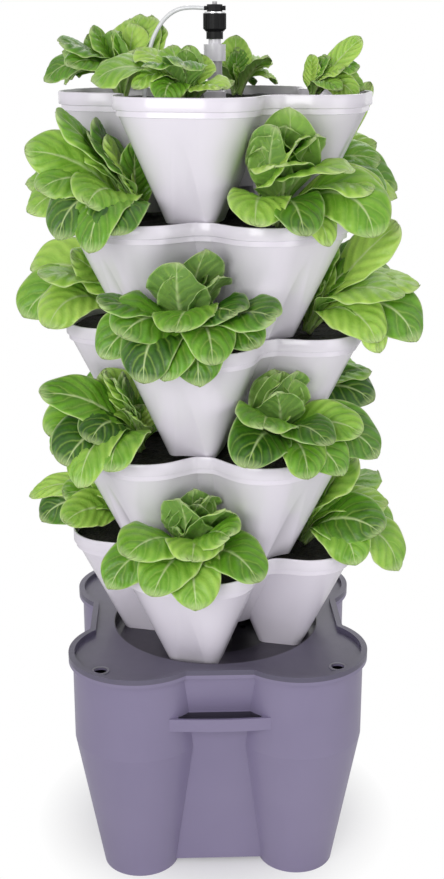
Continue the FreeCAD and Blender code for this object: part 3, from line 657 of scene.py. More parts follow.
class Palette:
    """Every finish of the tower, made once."""

    PLASTICS = (
        MouldedPlastic(
            "reservoir_plastic", colour=(0.222, 0.192, 0.312), worn=(0.262, 0.228, 0.355),
            roughness=(0.30, 0.42), coat=0.15, cloud=3.0, grain=1300, streak=0.15,
            # This zone paints shade into the handles' troughs: a near-black band where they lie in
            # shadow.
            zones=(Zone((0.045, 0.038, 0.062), 0.2805, 0.2880, half_x=0.0622, half_y=0.2106),)),
        MouldedPlastic(
            # The lid is the tank's plastic painted darker, as painted shade on its top.
            "lid_plastic", colour=(0.094, 0.084, 0.132), worn=(0.118, 0.106, 0.16),
            roughness=(0.30, 0.46), coat=0.15, cloud=5.0, grain=1300, streak=0.15,
            # The first zone paints the skirt's band in the plastic's lit tone; the next two paint
            # shade into the recess and, darker still, into the well under it.
            zones=(Zone((0.22, 0.192, 0.305), 0.349, 0.3560),
                   Zone((0.040, 0.035, 0.052), 0.30, 0.3568, radius=0.1645),
                   Zone((0.014, 0.012, 0.018), 0.30, 0.3392, radius=0.0935))),
        MouldedPlastic(
            "planter_plastic", colour=(0.80, 0.755, 0.845), worn=(0.835, 0.79, 0.875),
            roughness=(0.22, 0.28), coat=0.3, cloud=4.0, grain=1500, streak=0.06, relief=0.00005),
        MouldedPlastic(
            "port_rubber", colour=(0.20, 0.19, 0.23), worn=(0.27, 0.26, 0.30),
            roughness=(0.55, 0.7), cloud=40.0, grain=2200),
        MouldedPlastic(
            "pump_plastic", colour=(0.012, 0.012, 0.014), worn=(0.03, 0.03, 0.034),
            roughness=(0.4, 0.6), cloud=30.0, grain=2200),
        MouldedPlastic(
            "foot_rubber", colour=(0.02, 0.02, 0.02), worn=(0.05, 0.05, 0.05),
            roughness=(0.6, 0.8), cloud=40.0, grain=2200),
        MouldedPlastic(
            "pipe_plastic", colour=(0.50, 0.485, 0.50), worn=(0.6, 0.585, 0.6),
            roughness=(0.3, 0.45), coat=0.1, cloud=20.0, grain=1800),
        MouldedPlastic(
            "white_fitting", colour=(0.80, 0.78, 0.84), worn=(0.88, 0.86, 0.9),
            roughness=(0.18, 0.3), coat=0.2, cloud=30.0, grain=1800),
        MouldedPlastic(
            "black_fitting", colour=(0.003, 0.003, 0.0035), worn=(0.008, 0.008, 0.009),
            roughness=(0.42, 0.6), cloud=40.0, grain=2400, gleam=0.22),
        MouldedPlastic(
            "ring_metal", colour=(0.62, 0.62, 0.63), worn=(0.72, 0.72, 0.73),
            roughness=(0.22, 0.36), cloud=60.0, grain=2600, streak=0.6, relief=0.00004,
            metallic=1.0),
        MouldedPlastic(
            "shaft_metal", colour=(0.58, 0.58, 0.6), worn=(0.66, 0.66, 0.68),
            roughness=(0.12, 0.2), cloud=60.0, grain=2600, streak=0.6, relief=0.00003,
            metallic=1.0),
        MouldedPlastic(
            "tube_plastic", colour=(0.84, 0.85, 0.88), worn=(0.92, 0.93, 0.95),
            roughness=(0.16, 0.26), coat=0.3, cloud=50.0, grain=2400, streak=0.1,
            relief=0.00004),
    )

    def __init__(self, effects: Effects) -> None:
        """Build the materials.

        Args:
            effects: The shared groups.
        """
        self._made = {plastic.name: plastic.material(effects) for plastic in self.PLASTICS}
        self.leaf = LeafFinish().material(effects)
        self.compost = CompostFinish().material(effects)

    def __getitem__(self, name: str) -> bpy.types.Material:
        """Return a plastic by its name."""
        return self._made[name]

    def dress(self, nodes: Dict[str, bpy.types.Object], finishes: Dict[str, str]) -> None:
        """Give carried-over nodes their finish.

        Args:
            nodes: The frame's nodes.
            finishes: The finish's name for each node's name.
        """
        for name, finish in finishes.items():
            piece = nodes[name]
            if not piece.material_slots:
                piece.data.materials.append(self[finish])
            for holder in piece.material_slots:
                holder.material = self[finish]
            LOG.info("%s dressed in %s", name, finish)


# ---------------------------------------------------------------- reservoir and riser


@dataclass
class Reservoir:
    """The water tank with its lid, ports and pump, which keep the frame's forms."""

    palette: Palette
    nodes: Dict[str, bpy.types.Object]

    def build(self) -> None:
        """Dress the tank, the lid and what stands in the water."""
        self.palette.dress(self.nodes, {
            "reservoir_tank": "reservoir_plastic", "reservoir_lid": "lid_plastic",
            "port_grommets": "port_rubber", "pump_housing": "pump_plastic",
            "intake_cover": "pump_plastic", "pump_impeller": "pump_plastic",
            "flow_knob": "pump_plastic", "impeller_shaft": "shaft_metal",
            "pump_suction_feet": "foot_rubber", "cable_gland": "foot_rubber",
            "outlet_adapter": "pipe_plastic"})


@dataclass
class Riser:
    """The pipe up the middle and the drip head on it."""

    palette: Palette
    nodes: Dict[str, bpy.types.Object]
    tube_diameter: float = 0.006
    tube_heading: float = math.radians(164)
    tube_start: float = 0.015
    tube_level: float = 1.297
    tube_route: Tuple[Tuple[float, float], ...] = (
        (0, 0), (0.029, 0.003), (0.057, -0.010), (0.077, -0.039), (0.086, -0.073),
        (0.089, -0.107), (0.091, -0.125))

    def build(self) -> None:
        """Dress the fittings and lay the drip tube."""
        self.palette.dress(self.nodes, {
            "riser_pipe": "pipe_plastic", "head_adapter": "white_fitting",
            "head_barrel": "black_fitting", "lock_collar": "black_fitting",
            "head_washer": "ring_metal", "drip_cap": "black_fitting", "cap_nib": "pipe_plastic"})
        self._tube()

    def _tube(self) -> None:
        """Lay the drip tube as a spline over its route.

        The route's points are each a reach from the axis along the heading, and a rise.
        """
        reach, rise = np.array(self.tube_route).T
        reach = reach + self.tube_start
        points = np.stack([reach * math.cos(self.tube_heading), reach * math.sin(self.tube_heading),
                           self.tube_level + rise, np.ones(len(reach))], axis=1)
        curve = bpy.data.curves.new("drip_line", "CURVE")
        curve.dimensions = "3D"
        spline = curve.splines.new("NURBS")
        spline.points.add(len(points) - 1)
        spline.points.foreach_set("co", points.ravel())
        spline.order_u = 3
        spline.use_endpoint_u = True
        spline.resolution_u = 8
        curve.bevel_depth = self.tube_diameter / 2
        curve.bevel_resolution = 5
        curve.use_fill_caps = True
        curve.materials.append(self.palette["tube_plastic"])
        tube = bpy.data.objects.new("drip_line", curve)
        bpy.context.scene.collection.objects.link(tube)
        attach(tube, "riser")
        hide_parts("drip_tube")
        LOG.info("drip_line laid along %d points", len(points))


# ---------------------------------------------------------------- planters


@dataclass
class PlanterTier:
    """One four-pocket planter with its band, pockets, tub and hub, and the compost in it."""

    palette: Palette
    number: int
    base: float
    turn: float
    height: float = 0.172
    pitch: float = 0.168
    wall: float = 0.003
    rim_half: float = 0.100
    rim_reach: float = 0.223
    rim_corner: float = 0.070
    rim_height: float = 0.018
    step_inset: float = 0.004
    step_height: float = 0.008
    body_inset: float = 0.007
    notch_radius: float = 0.154
    notch_blend: float = 0.006
    leg_half: float = 0.036
    leg_reach: float = 0.146
    leg_inner: float = 0.076
    leg_corner: float = 0.014
    leg_floor: float = 0.016
    tub_level: float = 0.044
    tub_low_radius: float = 0.084
    tub_high_radius: float = 0.144
    tub_edge: float = 0.001
    flute_radius: float = 0.062
    flute_depth: float = 0.005
    flute_height: float = 0.122
    flute_blend: float = 0.0012
    flute_fade: float = 0.002
    hub_radius: float = 0.016
    hub_bore: float = 0.0117
    hub_edge: float = 0.0008
    soil_gap: float = 0.015
    soil_lap: float = 0.0004
    soil_wave: float = 0.0016
    crease: float = 38
    soil_crease: float = 60

    STEPS: ClassVar[int] = 384
    TUB_STEPS: ClassVar[int] = 96
    SOIL_RINGS: ClassVar[int] = 42
    SOIL_WAVES: ClassVar[int] = 7

    @property
    def body_top(self) -> float:
        """Return the height at which the pockets meet the stepped band."""
        return self.height - self.rim_height - self.step_height

    def outline(self, inset: float) -> np.ndarray:
        """Return the four-lobed outline as (STEPS, 2) points.

        In each lobe's own direction the ray at angle a meets a rounded rectangle: its side at
        half / |sin a|, its front at reach / cos a, or its corner arc. The lobes and the round core
        are joined by the smooth maximum m = (p + q + sqrt((p - q)^2 + k^2)) / 2. The inset moves
        each point along the outline's normal.

        Args:
            inset: How far inside the rim's outline the points lie.

        Returns:
            The points.
        """
        angle = np.linspace(0, 2 * np.pi, self.STEPS, endpoint=False)
        local = np.abs((angle + np.pi / 4) % (np.pi / 2) - np.pi / 4)
        cos, sin = np.cos(local), np.maximum(np.sin(local), 1e-9)
        radius = np.minimum(self.rim_half / sin, self.rim_reach / cos)
        middle = np.array([self.rim_reach - self.rim_corner, self.rim_half - self.rim_corner])
        along = middle[0] * cos + middle[1] * sin
        arc = along + np.sqrt(np.maximum(along**2 - middle @ middle + self.rim_corner**2, 0))
        corner = (radius * cos > middle[0]) & (radius * sin > middle[1])
        radius = np.where(corner, arc, radius)
        gap = radius - self.notch_radius
        radius = (radius + self.notch_radius + np.sqrt(gap**2 + self.notch_blend**2)) / 2
        points = np.stack([radius * np.cos(angle), radius * np.sin(angle)], axis=1)
        ahead = np.roll(points, -1, axis=0) - np.roll(points, 1, axis=0)
        ahead = ahead / np.linalg.norm(ahead, axis=1)[:, None]
        return points - inset * np.stack([ahead[:, 1], -ahead[:, 0]], axis=1)

    def band(self) -> Shell:
        """Build the stepped band: the outline carried round a profile of (inset, height) points.

        The profile runs up outside and down inside. Two or three points round each of its corners,
        over about a millimetre.

        Returns:
            The band's surface.
        """
        low, mid, top = self.body_top, self.height - self.rim_height, self.height
        profile = [(self.body_inset, low - 0.0005), (self.step_inset, low),
                   (self.step_inset, mid - 0.0008), (self.step_inset - 0.0008, mid),
                   (0.0009, mid), (0.0002, mid + 0.0003), (0, mid + 0.001),
                   (0, top - 0.0014), (0.0004, top - 0.0005), (0.0014, top),
                   (self.wall - 0.001, top), (self.wall - 0.0003, top - 0.0003),
                   (self.wall, top - 0.001), (self.wall, mid + self.wall),
                   (self.wall + self.step_inset, mid + self.wall - 0.001),
                   (self.wall + self.step_inset, low + 0.003),
                   (self.wall + self.body_inset + 0.002, low - 0.0005)]
        loops = [np.column_stack([self.outline(inset), np.full(self.STEPS, level)])
                 for inset, level in profile]
        quads = grid_quads(len(profile), self.STEPS, True, True)
        return Shell(np.concatenate(loops), quads).outward()

    def pocket(self, wall: float, floor: float, top: float) -> Shell:
        """Return one pocket along +X, from its foot to the band.

        Each level is a rounded rectangle whose reach, half-width and corner grow evenly with
        height. The front face is pushed in to the leaning cylinder of the flute,
        x = axis(z) - sqrt(R^2 - y^2) s, where s is the slant's length over its height.

        Args:
            wall: How far the surface lies inside the planter's outer face.
            floor: The height of the pocket's foot over the tier's base.
            top: The height at which the surface ends.

        Returns:
            The pocket's surface.
        """
        share = np.concatenate([[0, 0.01], np.linspace(0.04, 1, 26)])
        front = np.linspace(-1, 1, 36, endpoint=False)
        back = np.linspace(1, -1, 12, endpoint=False)
        side = np.linspace(0, 1, 5, endpoint=False)
        bends = np.linspace(0, np.pi / 2, 10, endpoint=False)
        cos, sin = np.cos(bends), np.sin(bends)
        # Each run of points has places along the two half-lengths and offsets in corner radii.
        runs = ((1, front, 1, 0), (1, 1, cos, sin),
                (1 - 2 * side, 1, 0, 1), (-1, 1, -sin, cos),
                (-1, back, -1, 0), (-1, -1, -cos, -sin),
                (2 * side - 1, -1, 0, -1), (1, -1, sin, -cos))
        unit_x, unit_y, round_x, round_y = np.concatenate(
            [np.stack(np.broadcast_arrays(*run)) for run in runs], axis=1)
        growth = self.rim_reach - self.body_inset - self.leg_reach
        level = (floor + share * (top - floor))[:, None]
        rise, fore = level / self.body_top, (1 + unit_x) / 2
        reach = self.leg_reach + growth * rise - wall
        inner = self.leg_inner * (1 - rise / 2) + wall
        half = self.leg_half + (self.rim_half - self.body_inset - self.leg_half) * rise - wall
        bend = self.leg_corner + (self.rim_corner - self.body_inset - self.leg_corner) * rise
        far, near = np.minimum(bend, (reach - inner) / 2), self.leg_corner
        corner = fore * far + (1 - fore) * near
        x = fore * (reach - far) + (1 - fore) * (inner + near) + corner * round_x
        y = unit_y * (half - corner) + corner * round_y
        lean = growth / self.body_top + self.flute_depth / self.flute_height
        slant, radius = math.hypot(1, lean), self.flute_radius + wall
        axis = self.leg_reach - self.flute_depth + self.flute_radius * slant + level * lean
        bound = axis - np.sqrt(np.maximum(radius**2 - y**2, 0)) * slant
        gap = x - np.where(np.abs(y) < radius, bound, 1)
        soft = self.flute_blend
        slack = soft / 2 * np.exp(-np.abs(gap) / self.flute_fade)
        pushed = x - (gap + np.sqrt(gap**2 + soft**2)) / 2 + slack
        x = np.where(unit_x > 0, np.minimum(x, pushed), x)
        return skin_of(np.stack([x, y, np.broadcast_to(level, x.shape)], axis=-1))

    def tub(self) -> Shell:
        """Build the round tub under the core: a closed cone with a softened lower edge.

        Returns:
            The tub's surface.
        """
        angle = np.linspace(0, 2 * np.pi, self.TUB_STEPS, endpoint=False)
        levels = np.array([self.tub_level, self.tub_level + self.tub_edge, self.body_top])
        share = (levels - self.tub_level) / (self.body_top - self.tub_level)
        radius = self.tub_low_radius + (self.tub_high_radius - self.tub_low_radius) * share
        radius[0] -= self.tub_edge
        loops = np.stack([np.outer(radius, np.cos(angle)), np.outer(radius, np.sin(angle)),
                          np.repeat(levels[:, None], self.TUB_STEPS, axis=1)], axis=-1)
        return skin_of(loops)

    def hub(self) -> Shell:
        """Build the tube that the riser passes: a wall with softened mouths, carried round Z.

        Returns:
            The hub's surface.
        """
        low, high, soft = self.height - self.pitch, self.height, self.hub_edge
        outer, bore = self.hub_radius, self.hub_bore
        return revolved([(bore + soft, low), (outer - soft, low),
                         (outer, low + soft), (outer, high - soft),
                         (outer - soft, high), (bore + soft, high),
                         (bore, high - soft), (bore, low + soft)])

    def compost(self) -> Shell:
        """Build the compost's heap: rings of the outline shrunk to the hub and raised by waves.

        The wave is a sum of sines, each along its own direction. It fades out at the rim, where
        the compost meets the planter's shoulder.

        Returns:
            The heap's surface.
        """
        rings = np.linspace(1, 0.09, self.SOIL_RINGS)
        flat = rings[:, None, None] * self.outline(self.wall + self.soil_lap)[None]
        wave = np.zeros(flat.shape[:2])
        for k in range(self.SOIL_WAVES):
            strength = math.cos(1.7 * k + self.number) / (1 + 0.7 * k)
            ahead = np.array([math.cos(2.4 * k), math.sin(2.4 * k)])
            wave += strength * np.sin(flat @ ahead * (70 + 55 * k) + 1.3 * k + self.number)
        fade = np.minimum(1, (1 - rings) * 14)[:, None]
        rise = self.height - self.soil_gap + 0.0006 + (self.soil_wave * wave + 0.001) * fade
        top = np.concatenate([flat, rise[..., None]], axis=2)
        skirt = self.outline(self.wall + self.step_inset + 0.0005)
        shoulder = self.height - self.rim_height + self.wall
        wall = [np.column_stack([skirt, np.full(len(skirt), height)])
                for height in (self.body_top + 0.004, shoulder)]
        return skin_of(np.concatenate([np.stack(wall), top]))

    def build(self) -> None:
        """Make the planter and its compost in their place."""
        pocket = self.pocket(0, 0, self.body_top + 0.001)
        shell = joined([self.band(), *(pocket.turned(quarter.turn) for quarter in Quarter),
                        self.tub(), self.hub()])
        body = f"tier_{self.number}"
        make_piece(f"planter_{self.number}", shell.turned(self.turn).moved((0, 0, self.base)),
                   self.palette["planter_plastic"], body,
                   [f"planter_tier_{self.number}"], self.crease)
        fill = self.pocket(self.wall, self.leg_floor, self.body_top + 0.003)
        heap = joined([self.compost(), *(fill.turned(quarter.turn) for quarter in Quarter)])
        make_piece(f"compost_{self.number}", heap.turned(self.turn).moved((0, 0, self.base)),
                   self.palette.compost, body,
                   [f"growing_medium_{self.number}"], self.soil_crease)


# ---------------------------------------------------------------- lettuces


@dataclass(frozen=True)
class Leaf:
    """One leaf: where it points, how long and wide it is, and how it bends."""

    swing: float
    length: float
    breadth: float
    rise: float
    droop: float
    tone: float
    phase: float
    roll: float = 0.0
    stalk: float = 0.006

    ROWS: ClassVar[int] = 43
    COLUMNS: ClassVar[int] = 15
    THICKNESS: ClassVar[float] = 0.0005
    RIB_THICKNESS: ClassVar[float] = 0.0016
    RIB_SINK: ClassVar[float] = 0.0014
    PUFF: ClassVar[float] = 0.0030
    FRILL: ClassVar[float] = 0.07
    CURL: ClassVar[float] = 0.028
    TIPPING: ClassVar[float] = 0.09
    SWAY: ClassVar[float] = 0.05
    UNDERSIDE: ClassVar[float] = 0.75

    def _relief(self, u: np.ndarray, v: np.ndarray, width: np.ndarray) -> np.ndarray:
        """Work out how far each point stands off the flat blade, along its normal.

        Across the leaf the surface cups by w c v^2. Its edge waves by a sine along the leaf and
        curls by a second, quicker one, and the whole blade tips from side to side by a slow one.
        It puffs up between its side veins by sin^2 and sinks along the midrib.

        Args:
            u: The points' places along the leaf, from 0 to 1.
            v: Their places across it, from -1 to 1.
            width: The half-width of each row.

        Returns:
            The heights in metres.
        """
        blade = np.clip((u - 0.2) / 0.25, 0, 1)
        cup = width * (0.50 - 0.75 * u) * v**2
        frill = self.FRILL * np.abs(v)**3 * np.sin(12 * u + self.phase + 1.9 * np.sign(v))
        curl = self.CURL * v**6 * np.sin(31 * u + 2 * self.phase)
        tipping = self.TIPPING * np.sin(4.4 * u + self.phase) * v
        puff = self.PUFF * (1 - v**4) * (1 - np.exp(-(v / 0.16)**2))
        puff = puff * np.sin(np.pi * SIDE_VEINS * (u - VEIN_SWEEP * np.abs(v)))**2
        sink = self.RIB_SINK * np.exp(-(v / 0.14)**2)
        return cup + blade * (self.breadth * (frill + curl + tipping) + puff) - sink

    def surface(self) -> Shell:
        """Return the leaf as a thin closed blade.

        The midrib's slope runs from the rise to the rise less the droop, and its points are the
        running sum of (cos, sin) of the slope. The half-width swells by a smooth step and closes
        at the tip by nearly a quarter ellipse, a spoon's outline. The blade turns about its midrib
        by the roll. The second side lies under the first by the leaf's thickness, which grows
        towards the stalk, and both sides are cut in triangles along the same diagonals, so that
        neither comes through the other.

        Returns:
            The surface in its head's own frame, with its map and its values for tone and side.
        """
        along = 1 - (1 - np.linspace(0, 1, self.ROWS))**1.4
        across = np.linspace(-1, 1, self.COLUMNS)
        slope = np.radians(self.rise - self.droop * along**1.5)
        step, middle = self.length * np.diff(along), slope[1:] / 2 + slope[:-1] / 2
        run = np.concatenate([[0], np.cumsum(step * np.cos(middle))])[:, None]
        climb = np.concatenate([[0], np.cumsum(step * np.sin(middle))])[:, None]
        opening = np.clip((along - 0.14) / 0.44, 0, 1)
        swell = 0.12 + 0.88 * (3 * opening**2 - 2 * opening**3)**0.8
        close = np.sqrt(np.maximum(1 - np.clip((along - 0.60) / 0.40, 0, 1)**2.15, 0.0004))
        width, tilt = (self.breadth * swell * close)[:, None], slope[:, None]
        u, v = np.meshgrid(along, across, indexing="ij")
        lift = self._relief(u, v, width)
        side = width * (v - 0.06 * v**3) * np.cos(0.35 * v)
        sway = self.SWAY * self.length * np.sin(np.pi * u) * math.sin(self.phase)
        turn = math.radians(self.roll) * np.clip(u / 0.6, 0, 1)
        cos, sin = np.cos(turn), np.sin(turn)
        side, lift = side * cos - lift * sin, side * sin + lift * cos
        top = np.stack([run - lift * np.sin(tilt), side + sway,
                        climb + lift * np.cos(tilt)], axis=-1)
        stalk = (self.stalk - self.THICKNESS) * np.exp(-(v / 0.2)**2) * np.exp(-3.4 * u)
        thick = self.THICKNESS + stalk + self.RIB_THICKNESS * np.exp(-(v / 0.12)**2) * (1 - u)
        down = np.stack([np.sin(tilt) * cos, sin, -np.cos(tilt) * cos], axis=-1)
        below = top + thick[..., None] * down
        place = np.arange(u.size).reshape(u.shape)
        edge = np.concatenate([place[0], place[1:, -1], place[-1, -2::-1], place[-2:0:-1, 0]])
        beside = np.roll(edge, -1)
        hem = np.stack([edge, beside, beside + u.size, edge + u.size], axis=1)
        faces = grid_quads(self.ROWS, self.COLUMNS)
        quads = np.concatenate([faces[:, [0, 3, 2, 1]], faces + u.size, hem])
        points = np.concatenate([top.reshape(-1, 3), below.reshape(-1, 3)])
        points = turn_about_z(points, math.radians(self.swing))
        ripe = self.tone + 0.10 * (np.abs(v) - 0.5) + 0.14 * (0.5 - u) + 0.28 * np.abs(v)**10
        values = {"tone": np.tile(np.clip(ripe, 0.02, 1).ravel(), 2),
                  "under": np.repeat([0.0, self.UNDERSIDE], u.size)}
        uv = np.tile(np.stack([u.ravel(), (v.ravel() + 1) / 2], axis=1), (2, 1))
        return Shell(points, quads, uv=uv, values=values).outward()


@dataclass(frozen=True)
class Habit:
    """How one head has grown: its size, the swings that its leaves keep to, and leaves of its own.

    Each leaf of its own is a swing, length, half-width, rise, droop, roll and tone.
    """

    vigour: float = 1.0
    keep: Tuple[float, float] = (-180, 180)
    tall: float = 1.0
    lift: float = 0.0
    extra: Tuple[Tuple[float, ...], ...] = ()


@dataclass
class Lettuce:
    """A head of lettuce in one pocket, with whorls of leaves round its crown.

    Each whorl has its leaves' length and half-width, and for each leaf its swing, rise and droop.
    """

    palette: Palette
    tier: PlanterTier
    quarter: Quarter
    habit: Habit
    seed: int
    tint: float
    reach: float = 0.140
    facing: float = 38.0
    crown: float = 0.006
    ripeness: float = 0.46

    WHORLS: ClassVar[Dict[Whorl, Tuple[float, float, Tuple[Tuple[float, float, float], ...]]]] = {
        Whorl.OUTER: (0.178, 0.049, ((-40, 50, 122), (-14, 47, 130), (22, 49, 118), (56, 52, 104))),
        Whorl.SECOND: (0.170, 0.050, ((-25, 58, 92), (8, 62, 104), (42, 60, 82))),
        Whorl.MIDDLE: (0.152, 0.048, ((3, 74, 34), (28, 77, 26), (46, 71, 40))),
        Whorl.INNER: (0.132, 0.042, ((12, 81, 18), (40, 84, 12), (58, 78, 30))),
        Whorl.HEART: (0.080, 0.030, ((-20, 74, 30), (20, 82, 20), (62, 86, 10), (100, 84, 20),
                                     (150, 80, 20))),
    }

    def leaves(self) -> List[Leaf]:
        """Grow the head's leaves, each with its own chance in size, aim, bend, tone and roll.

        Returns:
            The leaves, in the pocket's own frame.
        """
        number, habit = self.tier.number, self.habit
        chance = np.random.default_rng(1000 * number + 100 * self.quarter.value + self.seed)
        mirror = -1 if number % 2 == 0 else 1
        heading = self.quarter.turn + self.tier.turn
        grown: List[Leaf] = []
        for whorl, (length, breadth, spread) in self.WHORLS.items():
            age = whorl.value / Whorl.HEART.value
            for swing, rise, droop in spread:
                scale = habit.vigour * (habit.tall if age > 0.3 else 1)
                scale *= 1 + chance.uniform(-0.16, 0.08)
                aim = swing + chance.uniform(-7, 7)
                toward = math.cos(heading + math.radians(mirror * aim))
                leaf = Leaf(
                    swing=mirror * aim,
                    length=length * scale,
                    breadth=breadth * scale * chance.uniform(0.88, 1.08),
                    rise=rise + habit.lift + chance.uniform(-5, 5),
                    droop=droop + chance.uniform(-20, 12),
                    tone=self.ripeness + self.tint + 0.30 * age + chance.uniform(-0.42, 0.36),
                    phase=chance.uniform(0, 6.28),
                    roll=self.facing * toward * (1 - 0.6 * age) + chance.uniform(-20, 20))
                if habit.keep[0] <= aim <= habit.keep[1]:
                    grown.append(leaf)
        for swing, length, breadth, rise, droop, roll, tone in habit.extra:
            phase = chance.uniform(0, 6.28)
            grown.append(Leaf(mirror * swing, length, breadth, rise, droop, tone + self.tint,
                              phase, roll))
        return grown

    def build(self) -> None:
        """Make the head in its pocket."""
        number, place = self.tier.number, self.quarter
        level = self.tier.base + self.tier.height - self.tier.soil_gap + self.crown
        head = joined([leaf.surface() for leaf in self.leaves()])
        head = head.moved((self.reach, 0, 0)).turned(place.turn + self.tier.turn)
        make_piece(f"head_{number}_{place.word}", head.moved((0, 0, level)), self.palette.leaf,
                   f"tier_{number}", [f"lettuce_{number}_{place.word}"])


@dataclass
class Tower:
    """The stack of planted tiers over the reservoir.

    SEEDS and TINTS hold a row for each tier and a value for each pocket in the order of Quarter.
    """

    palette: Palette
    foot: float = 0.340
    odd_turn: float = math.radians(-16)
    even_turn: float = math.radians(37)

    SEEDS: ClassVar[Tuple[Tuple[int, ...], ...]] = (
        (3, 5, 1, 30), (50, 0, 5, 2), (5, 2, 22, 55), (48, 7, 8, 55), (0, 0, 7, 1))
    TINTS: ClassVar[Tuple[Tuple[float, ...], ...]] = (
        (-0.05, 0.0, -0.08, 0.06), (0.0, 0.0, -0.10, -0.16), (0.14, 0.0, 0.16, -0.24),
        (0.18, 0.0, -0.04, 0.12), (0.16, 0.04, 0.08, 0.08))
    PLAIN_HEAD: ClassVar[Habit] = Habit()
    BIG_HEAD: ClassVar[Habit] = Habit(1.06)
    HABITS: ClassVar[Dict[Tuple[int, Quarter], Habit]] = {
        (1, Quarter.RIGHT): BIG_HEAD,
        (1, Quarter.LEFT): Habit(0.97, tall=0.99, extra=((14, 0.200, 0.026, 60, 110, -30, 0.95),)),
        (2, Quarter.RIGHT): BIG_HEAD,
        (2, Quarter.LEFT): Habit(1.06, tall=0.94, extra=(
            (-22, 0.205, 0.040, 46, 128, 0, 0.75), (10, 0.200, 0.044, 58, 60, -40, 0.5))),
        (3, Quarter.RIGHT): Habit(1.14, tall=0.88, extra=(
            (-8, 0.215, 0.046, 60, 22, 55, 0.8), (-30, 0.175, 0.042, 46, 130, 10, 0.9))),
        (3, Quarter.LEFT): Habit(1.10, tall=0.9),
        (3, Quarter.FRONT): Habit(1.04, extra=(
            (20, 0.165, 0.044, 42, 140, 0, 0.5), (0, 0.172, 0.044, 44, 132, 8, 0.62),
            (56, 0.192, 0.047, 44, 56, 26, 0.42), (-34, 0.186, 0.038, 47, 50, -26, 0.5),
            (4, 0.160, 0.050, 63, 16, -14, 0.3))),
        (4, Quarter.RIGHT): Habit(1.10, tall=0.92, extra=(
            (20, 0.185, 0.046, 55, 60, 40, 0.7), (34, 0.225, 0.030, 58, 6, 60, 0.9),
            (44, 0.20, 0.044, 48, 110, 10, 0.8))),
        (4, Quarter.BACK): PLAIN_HEAD,
        (4, Quarter.LEFT): Habit(1.12, tall=0.90, extra=(
            (-30, 0.200, 0.041, 44, 132, 0, 0.45), (27, 0.195, 0.050, 58, 62, -50, 0.7),
            (8, 0.200, 0.048, 66, 34, -40, 0.55))),
        (4, Quarter.FRONT): Habit(1.06, extra=(
            (4, 0.150, 0.036, 46, 140, 0, 0.8), (30, 0.170, 0.050, 62, 40, 45, 0.85),
            (44, 0.172, 0.042, 62, 18, -45, 0.2), (30, 0.178, 0.048, 72, 14, -15, 1.0))),
        (5, Quarter.RIGHT): Habit(0.50, (-50, 60), tall=0.85, lift=8, extra=(
            (8, 0.108, 0.022, 58, 20, 65, 0.75),)),
        (5, Quarter.BACK): Habit(0.56, tall=0.95, lift=8, extra=(
            (120, 0.07, 0.026, 62, 40, 0, 0.6), (-110, 0.08, 0.030, 60, 40, 0, 0.8),
            (-60, 0.075, 0.028, 58, 40, 0, 0.8))),
        (5, Quarter.LEFT): Habit(0.76, (-60, 70), tall=0.95, lift=6, extra=(
            (-88, 0.118, 0.040, 74, 20, 0, 0.85), (-108, 0.125, 0.043, 72, 14, 0, 0.7),
            (-130, 0.124, 0.042, 68, 10, 0, 0.8), (-118, 0.105, 0.038, 80, 10, 0, 0.95),
            (-128, 0.126, 0.042, 70, 16, 10, 0.6), (-144, 0.118, 0.038, 62, 14, 20, 0.72),
            (104, 0.09, 0.034, 58, 50, 0, 0.6), (128, 0.085, 0.032, 62, 30, 0, 0.85))),
        (5, Quarter.FRONT): Habit(0.62, (-60, 20), tall=0.85, lift=8, extra=(
            (-80, 0.152, 0.050, 50, 100, -26, 0.55), (-104, 0.11, 0.042, 62, 56, -16, 0.85),
            (-138, 0.09, 0.036, 70, 40, 0, 0.6), (50, 0.085, 0.033, 42, 70, 10, 0.9),
            (92, 0.07, 0.028, 46, 60, 0, 0.7), (170, 0.07, 0.030, 70, 20, 0, 0.9))),
    }

    def build(self) -> None:
        """Stack the tiers and plant them."""
        for number, (seeds, tints) in enumerate(zip(self.SEEDS, self.TINTS), start=1):
            tier = PlanterTier(self.palette, number, self.foot + PlanterTier.pitch * (number - 1),
                               self.odd_turn if number % 2 else self.even_turn)
            tier.build()
            usual = self.PLAIN_HEAD if number < 4 else self.BIG_HEAD
            for quarter, seed, tint in zip(Quarter, seeds, tints):
                habit = self.HABITS.get((number, quarter), usual)
                Lettuce(self.palette, tier, quarter, habit, seed, tint).build()


# ---------------------------------------------------------------- stage


